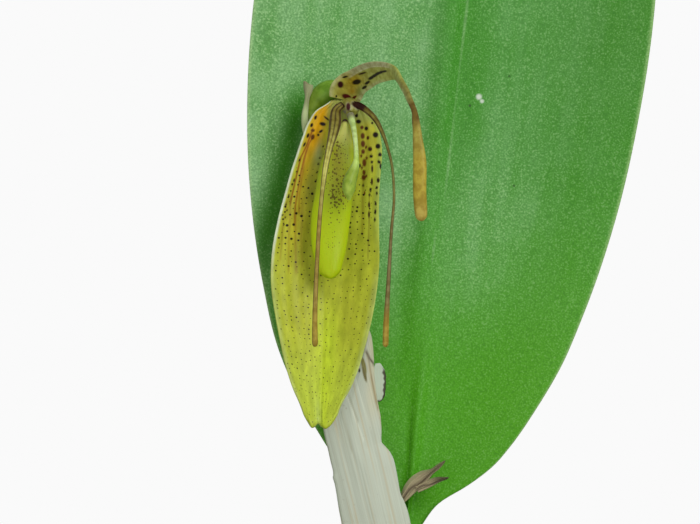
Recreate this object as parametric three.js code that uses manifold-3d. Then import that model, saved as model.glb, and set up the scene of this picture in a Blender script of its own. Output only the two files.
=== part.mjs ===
// A potted Restrepia mendozae in flower, a small tufted orchid, in millimetres with +Z up.
// The origin is the centre of the clay pot's underside. The flowering shoot stands in front, towards -Y.
import * as THREE from 'three';
import { mergeVertices } from 'three/addons/utils/BufferGeometryUtils.js';
import Module from 'manifold-3d';

const wasm = await Module();
wasm.setup();

// Driving dimensions
const POT = { height: 62, topRadius: 36, rimHeight: 13, rimStep: 3, footRadius: 24, wall: 4, floor: 4.5 };
const DRAIN = { count: 4, radius: 3.5, ring: 13 };
const POT_SIDES = 36;
const MIX = { top: 52, mound: 3.5, reach: 29, gap: 0.3, sides: 18 };
const CHIPS = { count: 27, length: [6, 10], width: [3.2, 5.2], height: [2.4, 3.6] };
const GAP = 0.3;
const BORE_GAP = 0.35;
const STEM = { radius: 0.6, jointRadius: 1.0, sides: 6, segments: 9 };
const SHEATH = { halfFlat: 1.65, halfWideLow: 1.75, halfWideHigh: 2.35, lap: 1.5, slant: 1.5, sides: 8 };
const LEAF = { petiole: 3.4, petioleHalf: 1.0, thickness: 1.1, groove: 0.22 };
const TEPAL_THICKNESS = 0.6;
const RHIZOME_RADIUS = 1.5;
const ROOT = { count: 7, radius: 0.62, sides: 5 };

// Half-width of a leaf blade, as a share of its widest, against the share of its length.
const BLADE_OUTLINE = [
  [0, 0.07], [0.027, 0.155], [0.048, 0.29], [0.07, 0.405], [0.091, 0.48], [0.134, 0.604], [0.176, 0.704],
  [0.24, 0.805], [0.35, 0.925], [0.457, 0.985], [0.564, 1], [0.68, 0.96], [0.78, 0.86], [0.87, 0.69],
  [0.94, 0.47], [0.98, 0.26], [1, 0.07],
];

const COLOURS = {
  terracotta: 0xb4694a, bark: 0x5d4030, moss: 0x6f8f3a, root: 0xb9b49a, stem: 0x6f9a45, sheath: 0xc9cabb,
  leaf: 0x4f963e, youngLeaf: 0x86b850, peduncle: 0x7ea04e, ovary: 0x6c962e, bract: 0xb9a98a, sepal: 0xb5b13c,
  dorsal: 0xc8b25a, petal: 0x8c6a3a, lip: 0xb0bf22, column: 0xc3d596, spathe: 0x9a8a6a,
};

const v = (x, y, z) => new THREE.Vector3(x, y, z);
const TOWARDS_VIEWER = v(0, -1, 0);

// A repeatable stream of numbers from 0 to 1.
function seeded(seed) {
  let state = seed;
  return () => {
    state = (state + 0x6d2b79f5) | 0;
    let t = Math.imul(state ^ (state >>> 15), 1 | state);
    t = (t + Math.imul(t ^ (t >>> 7), 61 | t)) ^ t;
    return ((t ^ (t >>> 14)) >>> 0) / 4294967296;
  };
}

const mix = (a, b, t) => a + (b - a) * t;

// The value at share s of a list of values spread evenly.
function along(list, s) {
  const place = Math.min(Math.max(s, 0), 1) * (list.length - 1);
  const low = Math.floor(place);
  return mix(list[low], list[Math.min(low + 1, list.length - 1)], place - low);
}

// The value at s of a table of [s, value] pairs.
function fromTable(table, s) {
  const next = Math.max(1, table.findIndex(([at]) => at >= s));
  const [s0, v0] = table[next - 1];
  const [s1, v1] = table[next];
  return mix(v0, v1, Math.min(Math.max((s - s0) / (s1 - s0), 0), 1));
}

function geometryOf(points, triangles) {
  const geometry = new THREE.BufferGeometry();
  geometry.setAttribute('position', new THREE.Float32BufferAttribute(points.flatMap((p) => [p.x, p.y, p.z]), 3));
  geometry.setIndex(triangles.flat());
  return geometry;
}

// Six times the volume that the triangles enclose, which is negative where they face inwards.
function facing(points, triangles) {
  return triangles.reduce((sum, [a, b, c]) => sum + points[a].dot(points[b].clone().cross(points[c])), 0);
}

function closedGeometry(points, triangles) {
  const outward = facing(points, triangles) > 0;
  return geometryOf(points, outward ? triangles : triangles.map(([a, b, c]) => [a, c, b]));
}

// A closed skin through round rings of points, with a fan at each end.
function roundSkin(rings) {
  const count = rings[0].length;
  const points = rings.flat();
  const triangles = [];
  for (let i = 0; i < rings.length - 1; i++) {
    for (let j = 0; j < count; j++) {
      const a = i * count + j;
      const b = i * count + ((j + 1) % count);
      triangles.push([a, b, b + count], [a, b + count, a + count]);
    }
  }
  [0, rings.length - 1].forEach((i) => {
    const centre = rings[i].reduce((sum, p) => sum.add(p), v(0, 0, 0)).divideScalar(count);
    const hub = points.push(centre) - 1;
    for (let j = 0; j < count; j++) {
      const edge = [i * count + j, i * count + ((j + 1) % count)];
      triangles.push(i === 0 ? [edge[1], edge[0], hub] : [edge[0], edge[1], hub]);
    }
  });
  return closedGeometry(points, triangles);
}

// A closed skin through flat rings, each a row of front points and the same number behind them.
// Both faces are split into triangles alike, so a waved blade keeps its thickness.
function flatSkin(fronts, backs) {
  const count = fronts[0].length;
  const rows = fronts.length;
  const points = [...fronts.flat(), ...backs.flat()];
  const front = (i, j) => i * count + j;
  const back = (i, j) => rows * count + i * count + j;
  const triangles = [];
  for (let i = 0; i < rows - 1; i++) {
    for (let j = 0; j < count - 1; j++) {
      triangles.push([front(i, j), front(i, j + 1), front(i + 1, j + 1)]);
      triangles.push([front(i, j), front(i + 1, j + 1), front(i + 1, j)]);
      triangles.push([back(i, j), back(i + 1, j + 1), back(i, j + 1)]);
      triangles.push([back(i, j), back(i + 1, j), back(i + 1, j + 1)]);
    }
    const last = count - 1;
    triangles.push([front(i, last), back(i, last), back(i + 1, last)]);
    triangles.push([front(i, last), back(i + 1, last), front(i + 1, last)]);
    triangles.push([front(i, 0), back(i + 1, 0), back(i, 0)]);
    triangles.push([front(i, 0), front(i + 1, 0), back(i + 1, 0)]);
  }
  for (let j = 0; j < count - 1; j++) {
    triangles.push([front(0, j), back(0, j), back(0, j + 1)], [front(0, j), back(0, j + 1), front(0, j + 1)]);
    const i = rows - 1;
    triangles.push([front(i, j), back(i, j + 1), back(i, j)], [front(i, j), front(i, j + 1), back(i, j + 1)]);
  }
  return closedGeometry(points, triangles);
}

const curveThrough = (points) => new THREE.CatmullRomCurve3(points, false, 'centripetal');

// A tube along a curve. radii are spread evenly along it.
function tube(curve, radii, sides, segments) {
  const frames = curve.computeFrenetFrames(segments, false);
  const rings = frames.tangents.map((tangent, i) => {
    const s = i / segments;
    const centre = curve.getPointAt(s);
    return Array.from({ length: sides }, (_, j) => {
      const angle = (2 * Math.PI * j) / sides;
      return centre.clone()
        .addScaledVector(frames.normals[i], along(radii, s) * Math.cos(angle))
        .addScaledVector(frames.binormals[i], along(radii, s) * Math.sin(angle));
    });
  });
  return roundSkin(rings);
}

// Shares of a blade's length at which its rows lie, closer together at both ends
const rowShare = (t) => t - 0.1 * Math.sin(2 * Math.PI * t);

// A blade along a curve. halfWidth, cup and thickness are functions of the share s; cup lifts the edges towards
// face, groove sinks the middle line on both faces, and notch draws the end back there.
function blade({ curve, rows, columns, face, halfWidth, thickness, cup = () => 0, groove = 0, notch = 0 }) {
  const fronts = [];
  const backs = [];
  for (let i = 0; i <= rows; i++) {
    const s = rowShare(i / rows);
    const centre = curve.getPointAt(s);
    const tangent = curve.getTangentAt(s);
    const side = tangent.clone().cross(face).normalize();
    const out = side.clone().cross(tangent).normalize();
    const front = [];
    const back = [];
    for (let j = 0; j <= columns; j++) {
      const u = (2 * j) / columns - 1;
      const middle = Math.max(0, 1 - Math.abs(u) * columns * 0.5);
      const lift = cup(s) * u * u - groove * middle;
      const half = thickness(s) / 2;
      const p = centre.clone()
        .addScaledVector(side, halfWidth(s) * u)
        .addScaledVector(out, lift)
        .addScaledVector(tangent, -notch * (1 - Math.abs(u)) * Math.max(0, (s - 0.8) / 0.2));
      front.push(p.clone().addScaledVector(out, half));
      back.push(p.clone().addScaledVector(out, -half));
    }
    fronts.push(front);
    backs.push(back);
  }
  return flatSkin(fronts, backs);
}

// Solids for joining and cutting
function solid(geometry) {
  const bare = geometry.clone();
  bare.deleteAttribute('normal');
  bare.deleteAttribute('uv');
  const merged = mergeVertices(bare, 1e-4);
  return new wasm.Manifold(new wasm.Mesh({
    numProp: 3,
    vertProperties: merged.attributes.position.array,
    triVerts: new Uint32Array(merged.index.array),
  }));
}

function fromSolid(made) {
  const whole = made.decompose().reduce((most, body) => (body.volume() > most.volume() ? body : most));
  const { numProp, vertProperties, triVerts } = whole.getMesh();
  const points = [];
  for (let i = 0; i < vertProperties.length; i += numProp) {
    points.push(v(vertProperties[i], vertProperties[i + 1], vertProperties[i + 2]));
  }
  return geometryOf(points, [Array.from(triVerts)]);
}

const joined = (geometries) => geometries.map(solid).reduce((whole, next) => whole.add(next));

const potted = new THREE.Group();

function add(name, geometry, colour, roughness = 0.6) {
  const material = new THREE.MeshStandardMaterial({ color: colour, roughness, metalness: 0 });
  const mesh = new THREE.Mesh(geometry, material);
  mesh.name = name;
  potted.add(mesh);
}

// Turns a profile of [radius, height] pairs about the vertical axis.
function turned(profile, sides) {
  const lathe = new THREE.LatheGeometry(profile.map(([r, z]) => new THREE.Vector2(r, z)), sides);
  return lathe.rotateX(Math.PI / 2);
}

// Pot: plain clay, with a stepped rim and drain holes round the middle of its floor
const innerTop = POT.topRadius - POT.rimStep - POT.wall + 1;
const innerFoot = POT.footRadius - POT.wall;
const innerRadius = (z) => mix(innerFoot, innerTop, (z - POT.floor) / (POT.height - POT.floor));

function potGeometry() {
  const rimFoot = POT.height - POT.rimHeight;
  const body = POT.topRadius - POT.rimStep;
  const shell = solid(turned([
    [0, 0], [POT.footRadius - 1, 0], [POT.footRadius, 1], [body - 0.6, rimFoot - 0.6], [POT.topRadius - 1.2, rimFoot],
    [POT.topRadius - 0.7, rimFoot + 1], [POT.topRadius, POT.height - 1.5], [POT.topRadius - 1.2, POT.height],
    [innerTop + 1, POT.height], [innerTop, POT.height - 1], [innerFoot + 2, POT.floor + 2], [innerFoot, POT.floor],
    [0, POT.floor],
  ], POT_SIDES));
  const hole = new THREE.CylinderGeometry(DRAIN.radius, DRAIN.radius, POT.floor + 2, 12);
  hole.rotateX(Math.PI / 2);
  let pot = shell;
  for (let k = 0; k < DRAIN.count; k++) {
    const angle = (2 * Math.PI * (k + 0.5)) / DRAIN.count;
    const at = hole.clone().translate(DRAIN.ring * Math.cos(angle), DRAIN.ring * Math.sin(angle), POT.floor / 2);
    pot = pot.subtract(solid(at));
  }
  return fromSolid(pot);
}

add('pot', potGeometry(), COLOURS.terracotta, 0.9);

// Height of the potting mix's domed top under a point
const moundTop = (x, y) => MIX.top + MIX.mound * (1 - (x * x + y * y) / (MIX.reach * MIX.reach));

// Shoots: each has its foot, the way its stem runs to the leaf joint, and its leaf's course and size
const SHOOTS = [
  {
    foot: [1, -5.5], stem: [[1.3, -6, 80], [2.3, -5, 103], [3.15, -3.6, 115.2]], sheaths: 5, sheathTo: 0.97,
    leaf: [[3.5, -3.1, 115.6], [3.85, -2.6, 119], [4.35, -1.9, 124.8], [5, -1.1, 134], [6.35, -0.7, 148],
      [8, -0.8, 162], [9.8, 0.6, 182.5]],
    halfWidth: 13.6, cup: 1.4, rows: 20, columns: 8, face: [0, -1, 0],
  },
  {
    foot: [2.5, 4.5], stem: [[2.8, 5.5, 85], [2.4, 6.5, 120]], sheaths: 5, sheathTo: 0.96,
    leaf: [[2.4, 6.6, 120.4], [2.9, 7, 124.4], [5, 8.6, 145], [6.4, 8.2, 160], [7, 5.6, 174]],
    halfWidth: 10.8, cup: 1.2, face: [0.1, 1, 0.1],
  },
  {
    foot: [-8, 1.5], stem: [[-13, 2, 74], [-24, 3, 100]], sheaths: 5, sheathTo: 0.95,
    leaf: [[-24.2, 3, 100.4], [-26, 3.2, 103.8], [-36, 4, 121], [-45, 4.6, 135], [-52, 5.4, 143]],
    halfWidth: 10.4, cup: 1.6, face: [0.75, -0.5, 0.45],
  },
  {
    foot: [9, 0], stem: [[14.5, -1, 75], [24, -2, 97]], sheaths: 5, sheathTo: 0.95,
    leaf: [[24.3, -2, 97.4], [26, -2.2, 100.6], [34, -3.4, 117], [41, -4.4, 131], [48, -5.6, 142]],
    halfWidth: 10.2, cup: 1.5, face: [-0.7, -0.6, 0.4],
  },
  {
    foot: [3, 12], stem: [[2.9, 15, 84], [2.8, 20, 121]], sheaths: 5, sheathTo: 0.96,
    leaf: [[2.8, 20.1, 121.4], [3, 21, 125.2], [4.6, 25.8, 143], [5.6, 30.4, 158], [6, 36, 169]],
    halfWidth: 10.6, cup: 1.3, face: [0, -1, 0.4],
  },
  {
    foot: [-7.5, -9], stem: [[-9.5, -11.5, 68], [-12.5, -15.5, 77]], sheaths: 3, sheathTo: 0.93,
    leaf: [[-12.7, -15.7, 77.4], [-13.6, -16.8, 80.4], [-17.6, -21.5, 92], [-20.6, -25.2, 100], [-23.5, -29.5, 105]],
    halfWidth: 7.8, cup: 1.1, face: [0.5, 0.6, 0.6],
  },
  {
    foot: [11, 8.5], stem: [[13.5, 11, 70], [17, 15, 81]], sheaths: 3, sheathTo: 0.93,
    leaf: [[17.2, 15.2, 81.4], [18.4, 16.4, 84.4], [23, 20.6, 96], [26.4, 24, 105], [29.5, 28.5, 111]],
    halfWidth: 8.2, cup: 1.1, face: [-0.6, -0.5, 0.6],
  },
  {
    foot: [-6.5, 9], stem: [[-9, 12.5, 72], [-12.5, 17.5, 84]], sheaths: 3, sheathTo: 0.93,
    leaf: [[-12.7, 17.7, 84.4], [-13.6, 18.9, 87.4], [-17.4, 23.6, 98], [-20.2, 27.6, 106], [-22.5, 32.5, 111]],
    halfWidth: 7.9, cup: 1.1, face: [0.5, -0.7, 0.5],
  },
];
const YOUNG = { foot: [8.5, -10], tip: [10.6, -12.8, 73], sheaths: 3, leafTip: [11.6, -14, 86] };

const footHeight = ([x, y]) => moundTop(x, y) + RHIZOME_RADIUS + 0.8;

function stemCurve({ foot, stem }) {
  const start = v(foot[0], foot[1], footHeight(foot) + GAP);
  const lower = v(foot[0], foot[1], footHeight(foot) + 6);
  return curveThrough([start, lower, ...stem.map((p) => v(...p))]);
}

// A stem, a little swollen at the leaf joint, grown on all sides by a margin
function stemGeometry(curve, margin) {
  const radii = Array(12).fill(STEM.radius + margin);
  return tube(curve, [...radii, STEM.jointRadius + margin], STEM.sides, STEM.segments);
}

// One sheath: a flattened funnel from share a to share b of the stem, with a slanting mouth
function sheathGeometry(curve, flatTo, a, b, halfWide, leanSide) {
  const rows = 2;
  const rings = [];
  const slant = Math.min(SHEATH.slant, 0.04 * curve.getLength());
  for (let i = 0; i <= rows; i++) {
    const t = i / rows;
    const s = mix(a, b, t);
    const centre = curve.getPointAt(s);
    const tangent = curve.getTangentAt(s);
    const wide = tangent.clone().cross(flatTo).normalize();
    const thin = wide.clone().cross(tangent).normalize();
    const grow = mix(0.9, 1, t);
    rings.push(Array.from({ length: SHEATH.sides }, (_, j) => {
      const angle = (2 * Math.PI * j) / SHEATH.sides;
      return centre.clone()
        .addScaledVector(wide, halfWide * grow * Math.cos(angle))
        .addScaledVector(thin, SHEATH.halfFlat * grow * Math.sin(angle))
        .addScaledVector(tangent, slant * t * t * leanSide * Math.cos(angle));
    }));
  }
  return roundSkin(rings);
}

// The sheaths of one stem, each standing in the mouth of the one below, with the stem's bore through them
function sheathStack(curve, face, count, upTo, extra = []) {
  const start = 0.01;
  const step = (upTo - start) / (count - 1 + SHEATH.lap);
  const funnels = Array.from({ length: count }, (_, i) => {
    const from = start + i * step;
    const halfWide = mix(SHEATH.halfWideLow, SHEATH.halfWideHigh, i / (count - 1));
    return sheathGeometry(curve, face, from, from + step * SHEATH.lap, halfWide, i % 2 ? 1 : -1);
  });
  const bore = stemGeometry(curve, BORE_GAP);
  return fromSolid(joined([...funnels, ...extra]).subtract(solid(bore)));
}

// The flowering stem's last sheath: its front ply runs on past the leaf joint and tapers off
function frontPly() {
  const curve = curveThrough([
    v(2.45, -5.05, 110.5), v(2.2, -5.3, 115), v(1.68, -5.35, 119.2), v(1, -5.4, 122.2), v(0.45, -5.35, 124.6),
    v(0.75, -5.2, 127.1), v(1.2, -5, 130), v(1.5, -4.9, 131.6),
  ]);
  const halves = [1.3, 1.9, 2.25, 2.38, 2.2, 2.05, 1.6, 1.1, 0.35];
  return blade({
    curve, rows: 12, columns: 4, face: TOWARDS_VIEWER, halfWidth: (s) => along(halves, s),
    thickness: () => TEPAL_THICKNESS, cup: () => -0.45,
  });
}

function leafGeometry({ leaf, halfWidth, cup, face, rows = 12, columns = 6 }) {
  const curve = curveThrough(leaf.map((p) => v(...p)));
  const length = curve.getLength();
  const stalk = LEAF.petiole / length;
  const bladeShare = (s) => (s - stalk) / (1 - stalk);
  return blade({
    curve, rows, columns, face: v(...face).normalize(),
    halfWidth: (s) => Math.max(LEAF.petioleHalf, s < stalk ? 0 : halfWidth * fromTable(BLADE_OUTLINE, bladeShare(s))),
    thickness: () => LEAF.thickness,
    cup: (s) => (s < stalk ? 0 : cup * Math.sin(Math.PI * Math.min(1, 0.15 + 0.7 * bladeShare(s)))),
    groove: LEAF.groove,
  });
}

SHOOTS.forEach((shoot, i) => {
  const curve = stemCurve(shoot);
  const face = v(...shoot.face).normalize();
  add(`ramicaul_${i + 1}`, stemGeometry(curve, 0), COLOURS.stem);
  const extra = i === 0 ? [frontPly()] : [];
  add(`sheaths_${i + 1}`, sheathStack(curve, face, shoot.sheaths, shoot.sheathTo, extra), COLOURS.sheath, 0.8);
  add(`leaf_${i + 1}`, leafGeometry(shoot), COLOURS.leaf, 0.4);
});

// New growth: a short stem in its sheaths, with a folded leaf coming out of the top
const youngTip = v(...YOUNG.tip);
const youngStem = curveThrough([
  v(YOUNG.foot[0], YOUNG.foot[1], footHeight(YOUNG.foot) + GAP),
  v(YOUNG.foot[0] + 0.3, YOUNG.foot[1] - 0.5, footHeight(YOUNG.foot) + 6), youngTip,
]);
add('young_sheaths', sheathStack(youngStem, v(0.6, -0.8, 0), YOUNG.sheaths, 0.9), COLOURS.sheath, 0.8);
const youngLeafCourse = curveThrough([youngTip.clone().addScaledVector(youngStem.getTangentAt(1), -1.2),
  youngTip.clone().addScaledVector(youngStem.getTangentAt(1), 1), v(11.1, -13.4, 79), v(...YOUNG.leafTip)]);
add('young_leaf', fromSolid(joined([
  stemGeometry(youngStem, 0), tube(youngLeafCourse, [0.7, 1, 1.5, 1.8, 1.5, 0.25], STEM.sides, 8),
])), COLOURS.youngLeaf);

// Rhizome: a short knobbly stem that the shoots stand on, with roots running out over the mix
const footPoint = ([x, y]) => v(x, y, moundTop(x, y) + 0.4);
const RHIZOME_RUNS = [
  [YOUNG.foot, SHOOTS[0].foot, SHOOTS[1].foot, SHOOTS[4].foot],
  [SHOOTS[5].foot, SHOOTS[0].foot],
  [SHOOTS[2].foot, SHOOTS[1].foot, SHOOTS[3].foot],
  [SHOOTS[7].foot, SHOOTS[1].foot],
  [SHOOTS[3].foot, SHOOTS[6].foot],
];

function rootCourses() {
  const rand = seeded(41);
  return Array.from({ length: ROOT.count }, (_, k) => {
    const feet = [...SHOOTS.map((s) => s.foot), YOUNG.foot];
    const [x0, y0] = feet[k % feet.length];
    const away = Math.atan2(y0 - 2, x0 - 1) + (rand() - 0.5) * 1.6;
    let [x, y, heading] = [x0, y0, away];
    const points = [v(x, y, moundTop(x, y) + 0.4)];
    const steps = 4 + Math.floor(rand() * 2);
    for (let i = 1; i <= steps; i++) {
      heading += (rand() - 0.5) * 0.9;
      const reach = Math.min(1, (25 - Math.hypot(x, y)) / 6);
      x += 3.4 * Math.cos(heading) * Math.max(0.2, reach);
      y += 3.4 * Math.sin(heading) * Math.max(0.2, reach);
      const rise = i === steps ? -3 : 0.5 + rand() * 0.7;
      points.push(v(x, y, moundTop(x, y) + rise));
    }
    return points;
  });
}
const ROOT_COURSES = rootCourses();

// The rhizome and its roots as one solid, grown on all sides by a margin
function rhizomeSolid(margin) {
  const knobs = RHIZOME_RUNS.map((run) => {
    const curve = curveThrough(run.map(footPoint));
    return tube(curve, [RHIZOME_RADIUS + margin], 6, 2 * run.length);
  });
  const stubs = [...SHOOTS.map((s) => s.foot), YOUNG.foot].map(([x, y]) => {
    const foot = new THREE.CylinderGeometry(1.1 + margin, RHIZOME_RADIUS + margin, 2.9 + margin, 6);
    return foot.rotateX(Math.PI / 2).translate(x, y, footHeight([x, y]) - 1.45 + margin / 2);
  });
  const radii = [ROOT.radius, ROOT.radius * 0.9, ROOT.radius * 0.8].map((r) => r + margin);
  const roots = ROOT_COURSES.map((points) => tube(curveThrough(points), radii, ROOT.sides, 5));
  return joined([...knobs, ...stubs, ...roots]);
}
add('rhizome_roots', fromSolid(rhizomeSolid(0)), COLOURS.root, 0.7);

// Moss: low cushions with small rounded heads, lying on the mix
const MOSS = [
  { name: 'moss_front', at: [-15, -17], radius: 6.4, height: 3.2, seed: 5 },
  { name: 'moss_side', at: [19, -9.5], radius: 5.4, height: 2.6, seed: 9 },
];

// Potting mix: a domed bed with bark chips bedded in its top, held clear of the pot, rhizome and roots
function mixBed() {
  const { sides, top, gap } = MIX;
  const ring = (radius, height) => Array.from({ length: sides }, (_, j) => {
    const angle = (2 * Math.PI * j) / sides;
    const [x, y] = [radius * Math.cos(angle), radius * Math.sin(angle)];
    return v(x, y, height(x, y));
  });
  return roundSkin([
    ring(innerRadius(POT.floor) - 3, () => POT.floor + gap),
    ring(innerRadius(POT.floor + 4) - gap - 0.2, () => POT.floor + 4),
    ring(innerRadius(top) - gap - 0.2, (x, y) => moundTop(x, y) - 0.4),
    ...[20, 10].map((radius) => ring(radius, moundTop)),
  ]);
}

function chipGeometry(rand) {
  const between = ([low, high]) => mix(low, high, rand());
  const [length, width, height] = [between(CHIPS.length), between(CHIPS.width), between(CHIPS.height)];
  const block = new THREE.BoxGeometry(length, width, height);
  block.deleteAttribute('normal');
  block.deleteAttribute('uv');
  const chip = mergeVertices(block);
  const place = chip.attributes.position;
  for (let i = 0; i < place.count; i++) {
    const shrink = () => 1 - 0.45 * rand();
    place.setXYZ(i, place.getX(i) * shrink(), place.getY(i) * shrink(), place.getZ(i) * shrink());
  }
  return chip;
}

function mixSolid(rhizomeRoom) {
  const rand = seeded(23);
  const chips = [];
  for (let k = 0; k < CHIPS.count; k++) {
    const radius = 23 * Math.sqrt((k + 0.5) / CHIPS.count);
    const angle = k * 2.39996 + rand() * 0.6;
    const [x, y] = [radius * Math.cos(angle), radius * Math.sin(angle)];
    const chip = chipGeometry(rand);
    chip.rotateX((rand() - 0.5) * 0.6).rotateY((rand() - 0.5) * 0.5).rotateZ(rand() * Math.PI);
    if (MOSS.every(({ at, radius: reach }) => Math.hypot(x - at[0], y - at[1]) > 1.15 * reach + CHIPS.length[1] / 2)) {
      chips.push(chip.translate(x, y, moundTop(x, y) + 0.1));
    }
  }
  return joined([mixBed(), ...chips]).subtract(rhizomeRoom);
}

// A moss cushion, a closed dome from its flat underside to its uneven top
function mossGeometry({ at, radius, height, seed }) {
  const rand = seeded(seed);
  const rows = 4;
  const sides = 14;
  const bottom = [];
  const top = [];
  for (let i = 0; i <= rows; i++) {
    const share = 1 - i / (rows + 1);
    bottom.push([]);
    top.push([]);
    for (let j = 0; j < sides; j++) {
      const angle = (2 * Math.PI * j) / sides;
      const r = radius * share * (1 + 0.12 * Math.sin(3 * angle + seed));
      const [x, y] = [at[0] + r * Math.cos(angle), at[1] + r * Math.sin(angle)];
      const dome = height * Math.sqrt(Math.max(0, 1 - share * share)) + 0.8;
      bottom[i].push(v(x, y, moundTop(x, y) + 0.3));
      top[i].push(v(x, y, moundTop(x, y) + 0.3 + dome * (0.8 + 0.4 * rand())));
    }
  }
  return roundSkin([...bottom.reverse(), ...top]);
}

const rhizomeRoom = rhizomeSolid(GAP);
add('potting_mix', fromSolid(mixSolid(rhizomeRoom)), COLOURS.bark, 0.95);
MOSS.forEach((cushion) => {
  add(cushion.name, fromSolid(solid(mossGeometry(cushion)).subtract(rhizomeRoom)), COLOURS.moss, 0.9);
});

// Flower stalk, from the leaf joint up behind the flower
add('peduncle', tube(curveThrough([
  v(2.2, -4.1, 115.55), v(1.1, -4, 119.8), v(0.14, -3.9, 124.2), v(-1.02, -3.9, 129.6), v(-1.96, -4.1, 136.4),
  v(-2.5, -4.4, 142.4), v(-2.63, -4.6, 144.9),
]), [0.38, 0.38, 0.42], 7, 14), COLOURS.peduncle);

// Ovary on its short pedicel, arching over to the flower's hub
add('ovary', tube(curveThrough([
  v(-2.63, -4.7, 145.25), v(-2.6, -4.75, 146.3), v(-2.45, -4.8, 147.1), v(-2.05, -4.85, 147.9), v(-1.4, -4.9, 148.4),
  v(-0.8, -5, 148.4), v(-0.42, -5.2, 148.1),
]), [0.42, 0.45, 0.55, 0.68, 0.78, 0.7, 0.52], 8, 12), COLOURS.ovary);

// Papery bract at the outer side of the pedicel, ending in a free point
add('floral_bract', blade({
  curve: curveThrough([v(-3.3, -5.4, 145.4), v(-3.38, -5.4, 146.4), v(-3.35, -5.35, 147.5), v(-3.2, -5.1, 149.3)]),
  rows: 6, columns: 2, face: v(-0.7, -0.7, 0), halfWidth: (s) => along([0.4, 0.55, 0.6, 0.5, 0.3], s),
  thickness: () => 0.5, cup: () => -0.15,
}), COLOURS.bract, 0.9);

// Dry spathe of an earlier flower, split into two points
const spatheStart = v(4.2, -4.7, 121.2);
add('dry_spathe', fromSolid(joined([
  blade({
    curve: curveThrough([spatheStart, v(5.06, -5, 122.27), v(5.8, -5.2, 122.9), v(6.55, -5.3, 123.5)]),
    rows: 5, columns: 2, face: TOWARDS_VIEWER, halfWidth: (s) => along([0.45, 0.55, 0.4, 0.3, 0.2], s),
    thickness: () => 0.55, cup: () => -0.15,
  }),
  blade({
    curve: curveThrough([v(4.8, -4.95, 121.8), v(5.8, -5.2, 122.05), v(6.7, -5.3, 122.2)]),
    rows: 3, columns: 2, face: TOWARDS_VIEWER, halfWidth: (s) => along([0.35, 0.28, 0.2], s),
    thickness: () => 0.45,
  }),
])), COLOURS.spathe, 0.9);

// Flower: two side sepals grown together in one hanging boat, a tailed upper sepal, two thread-like petals,
// the lip and the column
const SYNSEPAL = {
  course: [
    v(-0.4, -6.3, 147.2), v(-0.52, -5.9, 145.8), v(-0.6, -5.7, 144.4), v(-0.95, -5.6, 141.8), v(-1.4, -5.8, 138.8),
    v(-1.65, -6.2, 136), v(-1.75, -7, 133), v(-1.9, -8.3, 130), v(-2.05, -9.6, 127.5), v(-2.15, -10.7, 125.9),
  ],
  halves: [1.5, 2.7, 3, 3.2, 3.4, 3.62, 3.74, 3.6, 3.2, 2.55, 1.75, 0.9],
  cups: [0.25, 0.7, 1.1, 1.35, 1.3, 1.1, 0.8, 0.4],
};
add('synsepal', blade({
  curve: curveThrough(SYNSEPAL.course), rows: 16, columns: 8, face: TOWARDS_VIEWER,
  halfWidth: (s) => along(SYNSEPAL.halves, s), thickness: () => TEPAL_THICKNESS,
  cup: (s) => along(SYNSEPAL.cups, s), groove: 0.12, notch: 0.5,
}), COLOURS.sepal);

add('dorsal_sepal', blade({
  curve: curveThrough([
    v(-0.12, -6.55, 148.05), v(0.4, -7, 148.68), v(1.15, -7.8, 149.25), v(1.86, -9, 149.62), v(2.64, -10.6, 149.65),
    v(3.21, -12.2, 149.1), v(3.65, -13.8, 148.1), v(3.96, -15, 147), v(4.2, -16, 145.7), v(4.38, -16.8, 144.3),
    v(4.5, -17.4, 142.9), v(4.55, -17.8, 141.3), v(4.55, -18, 139.6),
  ]),
  rows: 24, columns: 2, face: v(-0.55, -0.35, -0.75).normalize(),
  halfWidth: (s) => along([0.85, 0.98, 0.88, 0.62, 0.42, 0.36, 0.32, 0.3, 0.3, 0.32, 0.4, 0.43, 0.36], s),
  thickness: (s) => (s < 0.45 ? TEPAL_THICKNESS : mix(0.6, 0.75, (s - 0.45) / 0.55)), cup: (s) => (s < 0.3 ? 0.15 : 0),
}), COLOURS.dorsal);

function petal(name, course, halves) {
  add(name, blade({
    curve: curveThrough(course), rows: 18, columns: 2, face: TOWARDS_VIEWER,
    halfWidth: (s) => along(halves, s), thickness: () => TEPAL_THICKNESS,
  }), COLOURS.petal);
}
petal('petal_left', [
  v(-0.88, -7.3, 147.3), v(-0.98, -8.4, 146.5), v(-1.1, -9.6, 145.6), v(-1.38, -11, 144.3), v(-1.64, -12, 142.9),
  v(-1.96, -13, 140), v(-2.16, -13.3, 136.7), v(-2.29, -13.2, 133.4), v(-2.29, -13, 131.7),
], [0.3, 0.42, 0.4, 0.34, 0.3, 0.3, 0.3, 0.3, 0.32]);
petal('petal_right', [
  v(0.92, -7.35, 147.15), v(1.35, -8, 146.8), v(1.75, -8.5, 146.3), v(2.1, -9, 145.6), v(2.5, -9.7, 144.6),
  v(2.9, -10.4, 143.2), v(3.12, -11.1, 141.1), v(2.76, -11.7, 138.3), v(2.5, -12.1, 134.1), v(2.43, -11.8, 131.4),
], [0.3, 0.32, 0.3, 0.3, 0.3, 0.3, 0.3, 0.3, 0.32]);

add('lip', blade({
  curve: curveThrough([
    v(-0.35, -7.65, 146.05), v(-0.55, -7.95, 145.3), v(-0.8, -8.25, 143.7), v(-1.07, -8.3, 142.4),
    v(-1.27, -8.35, 140.7), v(-1.33, -8.45, 138.6), v(-1.38, -8.7, 136.7), v(-1.42, -8.9, 135.8),
  ]),
  rows: 12, columns: 4, face: TOWARDS_VIEWER,
  halfWidth: (s) => along([0.32, 0.6, 0.8, 1.05, 1.25, 1.33, 1.35, 1.3, 1.15, 0.7], s),
  thickness: () => TEPAL_THICKNESS, cup: () => -0.2, notch: 0.35,
}), COLOURS.lip);

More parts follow.
